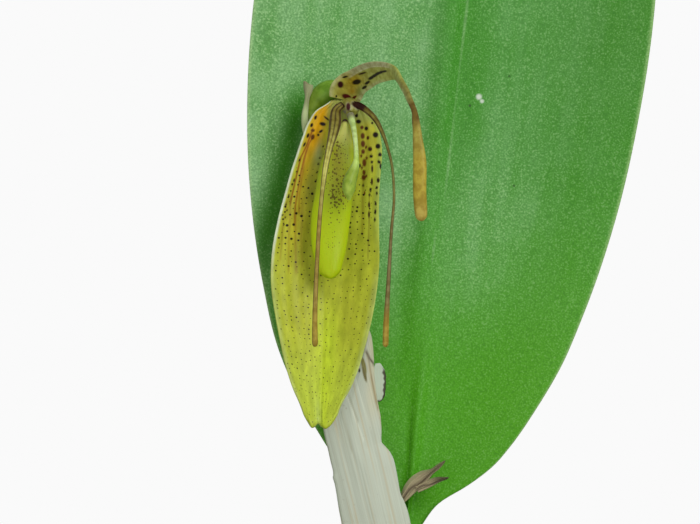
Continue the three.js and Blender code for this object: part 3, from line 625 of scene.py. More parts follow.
def leaf_bloom_and_sheen(u, s, upper):
    """How much whitish waxy coat and painted sheen lies on a leaf blade, whose u counts from its midrib,
    which is left clear.
    """
    left = (0.15 + 0.09 * bell(s, 0.36, 0.1)) * smooth(-0.05, -0.25, u)
    right = 0.05 * smooth(0.8, 0.35, u) * smooth(0.04, 0.18, u)
    right = right + 0.1 * bell(u, 0.2, 0.2) * bell(s, 0.31, 0.08)
    return (smooth(0.14, 0.36, s) * (left + right + 0.035) + 0.006) * upper


def leaf_piece(number, shoot, settings, finish):
    """One leaf: a short stalk that widens into a shallow spoon, grooved along its midrib."""
    course = Course(shoot["leaf"])
    stalk = PETIOLE / course.length
    straight = [(0, 0), (1, 0)]
    leaning = [(0, 0), (0.1, -0.05), (0.16, -0.022), (0.24, 0.006), (0.35, 0.055), (0.46, 0.073),
               (0.57, 0.062), (1, 0)]
    midrib_table = leaning if number == 1 else straight
    depth = settings.thickness / MM

    def blade_share(s):
        return np.clip((s - stalk) / (1 - stalk), 0, 1)

    def half_width(s):
        return np.maximum(PETIOLE_HALF, shoot["half"] * fair(BLADE_OUTLINE, blade_share(s)))

    def lift(s, u):
        inside = blade_share(s)
        cup = shoot["cup"] * np.sin(np.pi * np.minimum(1, 0.15 + 0.7 * inside)) * smooth(0, 0.03, inside)
        midrib = fair(midrib_table, inside)
        wave = (0.18 if number == 1 else 0.4) * np.sin(9 * inside + 2.2 * number) * u ** 3
        groove = settings.groove / MM * np.exp(-(((u - midrib) / 0.04) ** 2)) * smooth(0, 0.1, inside)
        return cup * u * u - groove + wave * smooth(0.05, 0.3, inside)

    def thickness(s, u):
        keel = 1 + 0.9 * np.exp(-((u / 0.07) ** 2)) * smooth(0.95, 0.5, s)
        return depth * keel * (1 - 0.35 * smooth(0.8, 1.0, np.abs(u)))

    rows, columns = (170, 96) if number == 1 else (90, 48)
    piece, u, s, upper = blade(f"leaf_blade_{number}", course, shoot["face"], half_width, thickness, rows,
                               columns, finish, lift=lift)
    inside = blade_share(s)
    aside = u - fair(midrib_table, inside)
    # Painted shadow: where the flower shades the leaf behind it, the whitish coat and painted sheen are
    # taken away and the green is painted deeper
    right, down = seen(piece)
    painted_flower_shadow = bell(right, -3.6 - 0.24 * down, 1.15) * smooth(-3, -0.5, down) * smooth(14, 8, down)
    painted_flower_shadow = painted_flower_shadow * (number == 1)
    tint = leaf_tint(u, inside, upper, 0.25 * (number % 3))
    store(piece, "tint", lay(tint, "#2c7002", painted_flower_shadow * 0.75))
    store(piece, "bloom", leaf_bloom_and_sheen(aside, inside, upper) * (1 - painted_flower_shadow))
    store(piece, "from_midrib", np.abs(aside) * shoot["half"] + (1 - upper) + smooth(0.28, 0.12, inside))
    settle(piece, "leaf", f"leaf_{number}")


class LeafSettings(bpy.types.PropertyGroup):
    thickness: FloatProperty(name="Thickness", description="How thick a leaf is", default=1.1 * MM,
                             unit="LENGTH")
    groove: FloatProperty(name="Groove", description="How deep the midrib lies", default=0.28 * MM,
                          unit="LENGTH")


class ORCHID_OT_leaves(bpy.types.Operator):
    """Make the leathery leaves"""

    bl_idname = "orchid.leaves"
    bl_label = "Leaves"

    def execute(self, context):
        finish = leaf_finish()
        for number, shoot in enumerate(SHOOTS, 1):
            leaf_piece(number, shoot, context.scene.orchid_leaf, finish)
        return {"FINISHED"}


def paper_finish():
    """Dry papery sheath: matt and grey-white, ribbed lengthwise every 0.15 mm, with tan streaks and
    brown rims."""
    material, tree, here = new_material("papery_sheath")
    place = add_node(tree, "ShaderNodeAttribute", attribute_name="place").outputs["Vector"]
    tint = add_node(tree, "ShaderNodeAttribute", attribute_name="tint")
    fine = add_node(tree, "ShaderNodeMapping", {"Vector": place, "Scale": (20, 0.11, 0)})
    ribs = add_node(tree, "ShaderNodeTexNoise", {"Vector": fine, "Scale": 1.0, "Detail": 3.0})
    tint = veiled(tree, tint, "#979882", ribs, 0.42, 0.66, 0.3)
    broad = add_node(tree, "ShaderNodeMapping", {"Vector": place, "Scale": (7, 0.08, 0)})
    tan = add_node(tree, "ShaderNodeTexNoise", {"Vector": broad, "Scale": 1.0, "Detail": 3.0})
    tint = veiled(tree, tint, "#b9ab84", tan, 0.54, 0.68, 0.5)
    fleck = add_node(tree, "ShaderNodeTexNoise", {"Vector": here, "Scale": 1 / (0.5 * MM), "Detail": 3.0})
    tint = veiled(tree, tint, "#7d6a4c", fleck, 0.68, 0.74, 0.3)
    skinned(tree, tint, ribs, 0.4, 0.06, {"Roughness": 0.6, "IOR": 1.45, "Specular IOR Level": 0.3})
    return material


def sheath_pattern(length, settings):
    """One flattened, ribbed sheath with a double wall and a slanting, pointed mouth, on the origin."""
    sides, rows, inner_rows = 40, 22, 8
    turn = np.arange(sides) / sides
    angle = 2 * np.pi * turn
    mouth = length * (1 - 0.06 * (1 - np.cos(angle))) - 0.25 * np.sin(5 * angle + 1) + 1.1 * np.exp(
        -((np.minimum(turn, 1 - turn) / 0.045) ** 2))
    rib = settings.rib / MM * (np.cos(angle * 13) + 0.6 * np.cos(angle * 7 + 1))
    points, place = [], []

    def ring(share, inset):
        swell = smooth(0, 0.16, np.array(share))
        wide = 0.72 + (1.05 + 0.6 * share) * swell - inset
        flat = 0.72 + 0.85 * swell - inset
        crumple = 0.06 * np.sin(9 * share + 3 * angle) * swell
        x = (wide + rib * swell + crumple) * np.cos(angle)
        y = (flat + rib * swell) * np.sin(angle)
        points.append(np.stack([x, y, mouth * share], -1))
        place.append(np.stack([turn, mouth * share, np.full(sides, share)], -1))

    for share in np.linspace(0, 1, rows + 1):
        ring(share, 0)
    for share in np.linspace(0.995, 0.3, inner_rows):
        ring(share, 0.13)
    points, place = np.vstack(points), np.vstack(place)
    count = rows + 1 + inner_rows
    index, faces = ringed(count, sides)
    faces.append(index[-1].tolist())
    faces.append(index[0][::-1].tolist())
    pattern = new_mesh("sheath_pattern", points, faces)
    store(pattern, "place", place)
    inside = np.repeat(np.arange(count) > rows, sides)
    tint = ground("#b5b8a4", place)
    tint = lay(tint, "#8b9a5c", smooth(0.35, 0.0, place[:, 2]) * 0.5)
    tint = lay(tint, "#8a7350", smooth(0.93, 1.0, place[:, 2]) * 0.75)
    store(pattern, "tint", lay(tint, "#9a927a", inside * 0.8))
    return pattern


def make_sheaths(name, shoot, settings, finish, node):
    """The stack of papery sheaths on one stem, each half as long again as the step to the next."""
    stem, count = stem_course(shoot), shoot["sheaths"]
    step = (shoot["to"] - FIRST_SHEATH) / (count + 0.5) * stem.length
    pattern = sheath_pattern(step * 1.5, settings)
    path = new_mesh(name, stem.at(np.linspace(0, 1, 81)), [], [(k, k + 1) for k in range(80)])
    tree = bpy.data.node_groups.get("sheaths_along_a_stem") or sheath_tree()
    # The tree works in metres, as its pattern does
    stack = grown(name, path, tree, Sheath=pattern, Count=count, First=FIRST_SHEATH * stem.length * MM,
                  Step=step * MM, Growth=0.1 / (count - 1),
                  Face=tuple(float(v) for v in unit(shoot["face"])), Finish=finish)
    bpy.data.objects.remove(pattern)
    settle(stack, "sheath", node)


def streaked_finish(name, per_mm, high, most, pale, deep, roughness, strength, depth_mm):
    """Living green tissue of a stem or a rolled leaf: smooth and satin, with streaks of a second colour that
    run up it. per_mm says how many streaks a millimetre holds along each axis."""
    material, tree, here = new_material(name)
    along = add_node(tree, "ShaderNodeMapping", {"Vector": here, "Scale": [count / MM for count in per_mm]})
    streak = add_node(tree, "ShaderNodeTexNoise", {"Vector": along, "Scale": 1.0, "Detail": 3.0})
    tint = veiled(tree, linear(pale), deep, streak, 0.4, high, most)
    skinned(tree, tint, streak, strength, depth_mm, {"Roughness": roughness})
    return material


class SheathSettings(bpy.types.PropertyGroup):
    rib: FloatProperty(name="Ribs", description="Height of the ribs on a sheath", default=0.025 * MM,
                       unit="LENGTH")


class ORCHID_OT_stems(bpy.types.Operator):
    """Make the slender stems, each in its stack of papery sheaths"""

    bl_idname = "orchid.stems"
    bl_label = "Stems and sheaths"

    def execute(self, context):
        settings = context.scene.orchid_sheath
        paper = paper_finish()
        green = streaked_finish("slender_stem", (1 / 1.2, 1 / 1.2, 1 / 7), 0.65, 0.6, "#62863a", "#7d6f38",
                                0.42, 0.3, 0.05)
        for number, shoot in enumerate(SHOOTS, 1):
            # The stem's end stands a millimetre up inside the foot of its leaf
            foot, above = np.array(shoot["leaf"][0]), np.array(shoot["leaf"][1])
            rooted = stem_course({**shoot, "stem": [*shoot["stem"], tuple(foot + unit(above - foot))]})
            piece = tube(f"stem_{number}", rooted, [0.75, 0.6, 0.6, 0.6, 0.62, 0.85], green, 80, 14)
            settle(piece, "stem", f"ramicaul_{number}")
            make_sheaths(f"papery_sheaths_{number}", shoot, settings, paper, f"sheaths_{number}")
        make_sheaths("papery_young_sheaths", YOUNG, settings, paper, "young_sheaths")
        self.make_front_ply(paper)
        self.make_flap(paper)
        self.make_young_leaf()
        return {"FINISHED"}

    def make_front_ply(self, paper):
        """The torn front of the top sheath, which stands up over the foot of the leaf behind the flower."""
        course = Course([
            (2.45, -5.05, 110.5), (2.2, -5.3, 115), (1.71, -5.35, 119.4), (1.35, -5.4, 120.7),
            (1.06, -5.4, 122.3), (0.85, -5.4, 123.1), (0.4, -5.35, 124.2), (0.18, -5.35, 125.6),
            (0.1, -5.3, 126.6), (0.2, -5.25, 127.6), (0.84, -5, 129.9), (1.12, -4.9, 131.3),
            (1.3, -4.85, 132.3),
        ])
        halves = [
            (0, 1.3), (0.2, 2.0), (0.405, 2.3), (0.468, 2.15), (0.54, 2.13), (0.575, 2.13), (0.605, 1.93),
            (0.627, 1.84), (0.69, 1.95), (0.738, 1.95), (0.784, 1.74), (0.889, 0.84), (0.953, 0.45),
            (1, 0.11),
        ]

        def lift(s, u):
            return -0.4 * u * u + 0.012 * np.sin(u * 19 + 2 * s) + 0.04 * np.sin(u * 6 + s * 2)

        piece, u, s, _ = blade("front_sheath_ply", course, TOWARDS_VIEWER, halves, 0.3, 240, 90, paper,
                               lift=lift, rim=8)
        right, down = seen(piece)
        # Its ribs run straight, whatever course its torn rims take
        store(piece, "place", np.stack([(right - 0.24 * down) / 2, down, s], -1))
        tint = ground("#bfc6b4", u)
        tint = lay(tint, "#cdc6a4", bell(right, 1.5, 0.4) * smooth(22, 19, down) * 0.7)
        tint = lay(tint, "#8c7a58", smooth(0.93, 1.0, -u) * smooth(0.5, 0.8, s) * 0.6)
        tint = lined(tint, right, down, [
            ([(1.1, 16.4), (1.33, 16.85), (1.6, 17.2)], 0.1, "#4a3c26", 0.95),
            ([(1.2, 16.6), (1.4, 17.8), (1.6, 19), (1.75, 19.8)], 0.06, "#8a7a58", 0.7),
            ([(1.44, 18.1), (1.65, 19.1), (1.87, 20.2)], 0.05, "#6a5a3c", 0.8),
            ([(0.33, 18.2), (0.9, 20), (1.4, 21.5)], 0.06, "#d2d8c4", 0.8),
            ([(-0.2, 19.4), (0.44, 21.1), (0.9, 22.3)], 0.06, "#d6dbc8", 0.8),
            ([(-0.1, 19.3), (0.54, 21.0)], 0.05, "#8f8a6c", 0.6),
            ([(-0.6, 20.4), (-0.2, 21.8), (0.1, 23)], 0.06, "#8f8f76", 0.5),
        ])
        tint = spotted(tint, right, down, [
            (0.93, 17.35, 0.14, 0.6, -0.2, "#7d783a"), (0.98, 17.9, 0.1, 0.5, -0.25, "#6a6230"),
            (0.63, 17.65, 0.07, 0.13, 0, "#231a12"),
        ])
        store(piece, "tint", tint)
        settle(piece, "sheath", "sheaths_1")

    def make_flap(self, paper):
        """The dark-rimmed flap that hangs behind the torn front, near its tip."""
        course = Course([
            (1.88, -4.4, 130.05), (1.98, -4.5, 129.2), (2.0, -4.55, 128.3), (1.96, -4.55, 127.45),
        ])
        halves = spread([0.16, 0.36, 0.44, 0.44, 0.42, 0.4, 0.34, 0.16])
        flap, u, s, _ = blade("torn_sheath_flap", course, TOWARDS_VIEWER,
                              lambda s: fair(halves, s) + 0.012 * np.sin(s * 40), 0.2, 60, 24, paper,
                              lift=lambda s, u: 0.1 * u, tip=0.1, rim=8)
        tint = ground("#bccbb4", u)
        ragged = u + 0.07 * np.sin(s * 43) + 0.06 * np.sin(s * 17)
        tint = lay(tint, "#2e2014", smooth(-0.55, -0.72, ragged) * smooth(0.08, 0.25, s))
        store(flap, "tint", lay(tint, "#2c2418", smooth(0.93, 0.99, s)))
        settle(flap, "sheath")

    def make_young_leaf(self):
        """The new leaf, still rolled up, on its stem."""
        green = streaked_finish("rolled_young_leaf", (1.2, 1.2, 0.16), 0.62, 1.0, "#7fa844", "#5c8a34",
                                0.4, 0.4, 0.08)
        stem = stem_course(YOUNG)
        settle(tube("young_stem", stem, [0.75, 0.6, 0.6, 0.7], green, 60, 14), "young_leaf", "young_leaf")
        tip, ahead = stem.at(1), stem.heading(1)
        course = Course([tip - 1.2 * ahead, tip + ahead, (11.1, -13.4, 79), (11.6, -14, 86)])
        rolled = tube("rolled_leaf", course, [0.7, 1.0, 1.5, 1.8, 1.5, 0.2], green, 80, 40)
        turn, _, share = place_of(rolled)
        at = points_of(rolled)
        axis = course.at(share)
        # The rolled edge winds round the leaf as it rises, with a groove beside it
        wound = turn - 0.3 - 0.25 * share
        groove = 0.22 * bell((wound + 0.5) % 1, 0.5, 0.03)
        at = axis + (at - axis) * (1 - groove + 0.1 * (wound % 1))[:, None]
        rolled.data.vertices.foreach_set("co", (at * MM).astype(np.float32).ravel())
        settle(rolled, "young_leaf")


# The middle of the flower, to the right and up, in millimetres. Marks are measured from here.
HUB = (0.0, 147.23)

SYNSEPAL_COURSE = [
    (-0.45, -6.4, 147.75), (-0.45, -6.2, 147.2), (-0.5, -5.9, 145.8), (-0.62, -5.7, 144.4),
    (-1.1, -5.6, 141.8), (-1.5, -5.8, 138.8), (-1.7, -6.2, 136), (-1.76, -7, 133), (-1.85, -8.3, 130),
    (-1.93, -9.6, 127.5), (-1.95, -10.7, 125.9),
]
SYNSEPAL_HALVES = [
    (0, 0.9), (0.024, 1.7), (0.063, 2.3), (0.112, 2.65), (0.2, 2.93), (0.292, 3.17), (0.38, 3.42),
    (0.468, 3.6), (0.557, 3.56), (0.643, 3.3), (0.729, 2.92), (0.812, 2.46), (0.895, 1.84), (0.96, 1.4),
    (1, 1.15),
]
SYNSEPAL_CUPS = [0.25, 0.7, 1.1, 1.35, 1.3, 1.1, 0.8, 0.4]
# How far the end lies back from the tips of its two lobes, against the place across from left to right
NOTCH = [
    (-1, 0.85), (-0.75, 0.4), (-0.5, 0.02), (-0.35, 0.1), (-0.14, 0.4), (0.04, 0.2), (0.26, 0), (0.5, 0.12),
    (0.75, 0.45), (1, 0.9),
]
MAROON = "#1e1009"
RUST = "#63360c"

# Veins and marks are given to the right and down from the flower's middle
SYNSEPAL_LINES = [
    ([(-2.51, 1.47), (-2.89, 2.47), (-3.29, 3.3), (-3.53, 4.3), (-3.76, 5.3), (-4, 6.4)], 0.06,
     "#8c3c0c", 0.9),
    ([(-2.5, 1.97), (-2.76, 2.4), (-3.09, 3.4), (-3.29, 4.3), (-3.47, 5.3), (-3.67, 6.6), (-3.7, 7.8)], 0.06,
     "#93480c", 0.85),
    ([(-2.97, 2.9), (-3.1, 3.8), (-3.23, 4.8), (-3.4, 5.8), (-3.43, 7)], 0.06, "#a0601a", 0.6),
    ([(-4.2, 6.2), (-4.5, 8), (-4.67, 10.2)], 0.06, "#94762a", 0.45),
    ([(-3.98, 6), (-4.1, 8.8), (-4.1, 11)], 0.07, "#94762a", 0.5),
    ([(-3.66, 7), (-3.67, 8.8), (-3.6, 11)], 0.08, "#a07c28", 0.55),
    ([(-3.2, 6), (-3.27, 8.8), (-3.2, 10.6)], 0.06, "#94762a", 0.4),
    ([(0.9, 4.4), (0.86, 6), (0.83, 8.5)], 0.1, "#8a7a1c", 0.5),
    ([(1.3, 5.6), (1.28, 7.5), (1.2, 10)], 0.05, "#6a5a1c", 0.5),
]

SYNSEPAL_MARKS = [
    (1.71, 1.8, 0.18, 0.18, 0, MAROON), (1.87, 2.57, 0.16, 0.17, 0, MAROON),
    (2.01, 3.13, 0.12, 0.13, 0, MAROON), (1.95, 3.62, 0.1, 0.14, -0.5, MAROON),
    (2.08, 3.92, 0.1, 0.18, 0, MAROON), (1.89, 4.85, 0.1, 0.17, 0, MAROON),
    (2.13, 4.67, 0.08, 0.14, 0, MAROON), (1.8, 5.33, 0.08, 0.1, 0, MAROON),
    (1.8, 5.73, 0.07, 0.09, 0, MAROON), (1.72, 6.44, 0.07, 0.12, 0, MAROON),
    (1.7, 6.95, 0.07, 0.16, 0, MAROON), (1.66, 7.5, 0.07, 0.12, 0, MAROON),
    (1.09, 1.37, 0.12, 0.13, 0, MAROON), (1.2, 2.0, 0.09, 0.12, 0, "#4a2a10"),
    (1.35, 2.75, 0.14, 0.15, 0, "#3a1c0c"), (1.42, 3.23, 0.11, 0.11, 0, MAROON),
    (1.47, 3.62, 0.08, 0.09, 0, MAROON), (1.49, 4.08, 0.07, 0.24, 0, "#3a200c"),
    (1.47, 4.93, 0.07, 0.24, 0, "#3a200c"), (1.38, 5.47, 0.08, 0.12, 0, MAROON),
    (1.31, 5.83, 0.07, 0.09, 0, MAROON), (1.28, 6.5, 0.07, 0.2, 0, "#3a200c"),
    (1.27, 7.15, 0.07, 0.22, 0, "#3a200c"), (0.8, 1.3, 0.11, 0.12, 0.4, RUST),
    (0.85, 1.87, 0.13, 0.2, 0, RUST), (0.87, 2.4, 0.14, 0.22, 0, RUST), (0.88, 2.92, 0.12, 0.16, 0, RUST),
    (0.96, 3.67, 0.13, 0.26, 0, RUST), (0.94, 4.3, 0.11, 0.16, 0, RUST), (0.92, 4.66, 0.14, 0.18, 0, RUST),
    (0.88, 5.2, 0.07, 0.09, 0, MAROON), (0.64, 3.87, 0.1, 0.11, 0, MAROON),
    (0.57, 0.91, 0.17, 0.13, 0, MAROON), (0.44, 0.5, 0.1, 0.13, 0, MAROON),
    (1.49, 1.01, 0.07, 0.08, 0, MAROON), (-2.31, 0.64, 0.08, 0.14, 0.4, MAROON),
    (-2.57, 1.15, 0.09, 0.14, 0.4, MAROON), (-1.58, 0.69, 0.22, 0.06, 0.7, MAROON),
    (-1.83, 1.07, 0.2, 0.12, 0.2, MAROON), (-1.95, 1.56, 0.15, 0.08, -0.6, MAROON),
    (-2.13, 1.8, 0.08, 0.08, 0, MAROON), (-2.49, 1.5, 0.13, 0.1, 0, RUST),
    (-2.82, 1.85, 0.08, 0.16, 0.4, MAROON), (-2.5, 1.95, 0.12, 0.18, 0.3, RUST),
    (-3.06, 2.45, 0.06, 0.16, 0.5, MAROON), (-1.81, 2.57, 0.06, 0.06, 0, MAROON),
    (-2.03, 3.35, 0.07, 0.07, 0, MAROON), (-2.13, 3.75, 0.07, 0.07, 0, MAROON),
    (-3.39, 3.5, 0.06, 0.09, 0.3, MAROON), (-3.57, 4.27, 0.06, 0.08, 0, MAROON),
    (-3.75, 4.85, 0.06, 0.08, 0, MAROON), (-3.87, 5.13, 0.06, 0.08, 0, MAROON),
    (-4.11, 5.9, 0.06, 0.09, 0, MAROON), (-4.29, 6.47, 0.06, 0.09, 0, MAROON),
    (-4.22, 6.84, 0.05, 0.08, 0, MAROON), (-4.51, 7.2, 0.05, 0.08, 0, MAROON),
    (-4.33, 7.38, 0.05, 0.07, 0, MAROON), (-4.43, 7.87, 0.05, 0.07, 0, MAROON),
    (-2.22, 4.3, 0.06, 0.07, 0, MAROON), (-2.27, 4.87, 0.06, 0.07, 0, MAROON),
    (1.08, 2.62, 0.07, 0.12, 0.3, RUST), (1.12, 3.34, 0.08, 0.1, -0.3, RUST),
    (0.76, 3.2, 0.07, 0.1, 0, RUST), (0.8, 4.0, 0.06, 0.1, 0, RUST), (1.1, 4.55, 0.06, 0.1, 0, RUST),
    (0.98, 5.7, 0.06, 0.12, 0, RUST),
]


def sepal_finish():
    """Fleshy sepal skin: satin, slightly see-through and streaked along its veins, with rows of dots 0.1 mm
    wide that lie 0.43 mm apart across and 0.38 mm apart along."""
    material, tree, _ = new_material("spotted_sepal")
    place = add_node(tree, "ShaderNodeAttribute", attribute_name="place").outputs["Vector"]
    tint = add_node(tree, "ShaderNodeAttribute", attribute_name="tint")
    along = add_node(tree, "ShaderNodeMapping", {"Vector": place, "Scale": (6.5, 0.7, 0)})
    mottle = add_node(tree, "ShaderNodeTexNoise", {
        "Vector": along, "Scale": 1.0, "Detail": 5.0, "Roughness": 0.65})
    light = add_node(tree, "ShaderNodeMapRange", {
        "Value": mottle, "From Min": 0.32, "From Max": 0.68, "To Min": 1.2, "To Max": 0.8})
    tint = add_node(tree, "ShaderNodeVectorMath", {0: tint, "Scale": light}, operation="SCALE")
    rows = add_node(tree, "ShaderNodeMapping", {"Vector": place, "Scale": (8.2, 2.6, 0)})
    cells = add_node(tree, "ShaderNodeTexVoronoi", {"Vector": rows, "Scale": 1.0, "Randomness": 0.6},
                     voronoi_dimensions="2D")
    chance = add_node(tree, "ShaderNodeSeparateColor", {0: cells.outputs["Color"]}).outputs[0]
    reach = add_node(tree, "ShaderNodeMath", {0: chance, 1: 0.18, 2: 0.05}, operation="MULTIPLY_ADD")
    dotting = add_node(tree, "ShaderNodeAttribute", attribute_name="dotting").outputs["Fac"]
    reach = add_node(tree, "ShaderNodeMath", {0: reach, 1: dotting}, operation="MULTIPLY")
    inside = add_node(tree, "ShaderNodeMath", {0: reach, 1: cells.outputs["Distance"]}, operation="SUBTRACT")
    tint = veiled(tree, tint, "#241b04", inside, -0.01, 0.04)
    fine = add_node(tree, "ShaderNodeMapping", {"Vector": place, "Scale": (14, 0.2, 0)})
    ridges = add_node(tree, "ShaderNodeTexNoise", {"Vector": fine, "Scale": 1.0, "Detail": 2.0})
    skinned(tree, tint, ridges, 0.15, 0.05, {
        **FLESH, "Roughness": 0.42, "Subsurface Radius": (0.6, 0.5, 0.15), "Subsurface Scale": 0.4 * MM})
    return material


def synsepal_tint(x, s, right, down):
    """The joined sepals' ground: x runs from the left rim to the right as seen, s from the hub to the tip."""
    tint = layered(ground("#b4bc34", x), [
        ("#c0b22c", bell(x, -0.6, 0.3) * smooth(0.6, 0.3, s) * 0.85),
        ("#b0b834", bell(x, -0.2, 0.22) * smooth(0.6, 0.3, s) * 0.85),
        ("#9cae6a", bell(right, -2.15, 0.35) * bell(down, 2.9, 1.0) * 0.9),
        ("#98a446", bell(right, -2.6, 0.5) * bell(down, 5.3, 1.5) * 0.4),
        ("#dca40a", bell(right, -2.25 - 0.32 * (down - 1.5), 0.5) * smooth(3.9, 2.1, down)),
        ("#d8a818", bell(right, -2.8 - 0.2 * (down - 3), 0.3) * smooth(6, 3.4, down) * 0.6),
        ("#b6ae30", bell(right, 1.2, 0.8) * smooth(5, 2.5, down) * 0.7),
        ("#aab22c", bell(x, 0.5, 0.25) * bell(s, 0.45, 0.16) * 0.8),
        ("#a6a82a", bell(x, -0.45, 0.25) * bell(s, 0.62, 0.12) * 0.6),
        ("#a6aa2c", bell(x, 0.45, 0.2) * bell(s, 0.66, 0.14) * 0.6),
        ("#aebf3a", smooth(0.66, 0.9, s) * 0.8),
        ("#b8cc2c", bell(x, 0.12, 0.24) * smooth(0.56, 0.72, s) * 0.85),
        ("#b3c65c", bell(x, -0.12, 0.16) * smooth(0.86, 0.97, s) * 0.7),
        ("#a4b44e", smooth(0.84, 0.95, x) * smooth(0.5, 0.3, s) * 0.8),
        ("#aebc62", smooth(0.84, 0.97, np.abs(x)) * smooth(0.45, 0.6, s) * 0.75),
        ("#a3ae5c", smooth(1.5, 0.4, down) * smooth(-1.8, -1.1, right) * 0.8),
        ("#7f9c48", smooth(0.9, 1.5, right) * smooth(1.2, 0.2, down) * 0.8),
    ])
    return lay(tint, "#d2dcbc", smooth(0.93, 0.975, -x) * smooth(0.58, 0.4, s))


def make_synsepal():
    """The two side sepals, grown together down to a notch at the tip."""
    course = Course(SYNSEPAL_COURSE)
    cups = spread(SYNSEPAL_CUPS)

    def pull(s, u):
        return fair(NOTCH, -u) * smooth(0.86, 1, s)

    def lift(s, u):
        seam = 0.08 * np.exp(-((u / 0.06) ** 2))
        return fair(cups, s) * u * u - seam + 0.02 * np.cos(u * 26) * smooth(0.9, 0.6, s)

    piece, u, s, upper = blade("spotted_synsepal", course, TOWARDS_VIEWER, SYNSEPAL_HALVES, 0.6, 300, 150,
                               sepal_finish(), lift=lift, pull=pull, rim=4, blunt=True)
    right, down = seen(piece)
    tint = lined(synsepal_tint(-u, s, right, down), right, down, SYNSEPAL_LINES)
    tint = spotted(tint, right, down, SYNSEPAL_MARKS)
    store(piece, "tint", lay(tint, "#aaa25a", (1 - upper) * 0.7))
    busy = 0.6 + 0.4 * smooth(0.62, 0.35, s) + 0.12 * smooth(0, 0.5, u)
    edge = smooth(0.98, 0.9, np.abs(u)) * smooth(0.16, 0.28, s + 0.12 * (np.abs(u) < 0.4))
    store(piece, "dotting", busy * edge * upper)
    settle(piece, "sepal", "synsepal")


DORSAL_MARKS = [
    (-0.64, -1.54, 0.19, 0.21, 0, "#3a0a0a"), (0.45, -1.68, 0.28, 0.16, -0.1, MAROON),
    (-0.23, -0.76, 0.3, 0.155, 0.3, "#5a120c"), (0.27, -0.68, 0.2, 0.08, -0.6, "#5a120c"),
    (-0.33, -2.03, 0.18, 0.06, -0.2, "#18100a"), (0.82, -2.21, 0.25, 0.06, -0.2, "#3c2814"),
    (0.96, -1.31, 0.18, 0.09, -0.5, MAROON), (1.15, -1.59, 0.18, 0.09, -0.5, MAROON),
    (1.41, -1.885, 0.2, 0.1, -0.4, MAROON), (1.62, -2.0, 0.18, 0.1, -0.3, MAROON),
    (1.82, -2.11, 0.18, 0.1, -0.3, MAROON), (2.03, -2.17, 0.15, 0.09, -0.2, MAROON),
    (2.27, -2.21, 0.15, 0.07, 0, MAROON), (-0.92, -0.78, 0.06, 0.08, 0, MAROON),
    (1.56, -3.0, 0.12, 0.1, 0, "#8a7048"), (1.87, -3.06, 0.12, 0.1, 0, "#8a7048"),
]


def make_dorsal_sepal(finish):
    """The upper sepal: broad and spotted at its base, and drawn out into a tail with a club at its end."""
    course = Course([
        (-0.33, -6.4, 147.86), (-0.23, -6.7, 148.31), (0.13, -7.1, 148.74), (0.5, -7.7, 149.0),
        (1.09, -8.7, 149.29), (1.62, -9.8, 149.46), (2.42, -11.5, 149.45), (2.96, -13, 149.24),
        (3.24, -14, 148.77), (3.49, -14.8, 148.25), (3.62, -15.1, 148.01), (3.83, -15.8, 147.46),
        (4.05, -16.4, 146.92), (4.17, -16.8, 146.52), (4.23, -17.1, 146.0), (4.29, -17.3, 145.48),
        (4.38, -17.6, 144.45), (4.47, -17.8, 143.42), (4.47, -18, 141.37), (4.53, -18, 140.35),
        (4.6, -18, 139.52),
    ])
    halves = [
        (0, 1.05), (0.028, 1.13), (0.062, 1.08), (0.1, 0.95), (0.16, 0.88), (0.22, 0.8), (0.315, 0.64),
        (0.396, 0.46), (0.453, 0.29), (0.5, 0.26), (0.52, 0.25), (0.57, 0.22), (0.61, 0.19), (0.64, 0.19),
        (0.67, 0.25), (0.7, 0.27), (0.75, 0.35), (0.8, 0.42), (0.907, 0.43), (0.958, 0.42), (1, 0.36),
    ]
    faces = [(-0.22, -0.81, -0.56), (-0.85, -0.4, -0.25), (-0.2, -1, 0.1), (0, -1, 0.1)]
    thick = spread([0.35, 0.32, 0.3, 0.3, 0.3, 0.3, 0.3, 0.3, 0.32, 0.38, 0.45, 0.5, 0.45])
    piece, u, s, _ = blade("tailed_upper_sepal", course, faces, halves, lambda s, u: fair(thick, s), 260, 72,
                           finish, lift=lambda s, u: 0.2 * u * u * smooth(0.4, 0.15, s), rim=3)
    right, down = seen(piece)
    tint = layered(ground("#b8be60", u), [
        ("#b8b040", bell(right, -0.2, 0.9) * smooth(-0.2, -1.2, down) * smooth(0.25, 0.1, s)),
        ("#bc9c14", bell(right, 0.3, 0.5) * bell(down, -1.75, 0.4) * 0.9),
        ("#a88212", bell(right, 0.18, 0.27) * bell(down, -1.1, 0.22) * 0.9),
        ("#a4ba6a", bell(right, 0.75, 0.3) * bell(down, -1.0, 0.35) * 0.8),
        ("#ccd09a", smooth(0.6, 0.92, u) * smooth(0.4, 0.2, s) * 0.8),
        ("#c8c890", smooth(-0.6, -0.95, u) * smooth(0.3, 0.1, s) * 0.7),
    ])
    curled = smooth(-0.3, 0.3, right) * smooth(0.42, 0.32, s)
    tint = layered(tint, [
        ("#bab88c", smooth(-0.5, -0.66, u) * curled * 0.9),
        ("#d8d8b4", bell(u, -0.55, 0.06) * curled * 0.8),
        ("#a8b05a", smooth(0.34, 0.42, s)),
        ("#8e8c48", smooth(0.46, 0.52, s)),
        ("#6f5a24", smooth(0.57, 0.61, s)),
        ("#a29842", smooth(0.66, 0.71, s)),
        ("#ae9c36", smooth(0.74, 0.82, s)),
        ("#b4a14a", smooth(0.92, 0.98, s)),
        ("#a8b470", smooth(-0.1, 0.5, u) * smooth(0.4, 0.46, s) * smooth(0.6, 0.55, s) * 0.85),
    ])
    store(piece, "tint", spotted(tint, right, down, DORSAL_MARKS))
    settle(piece, "sepal", "dorsal_sepal")


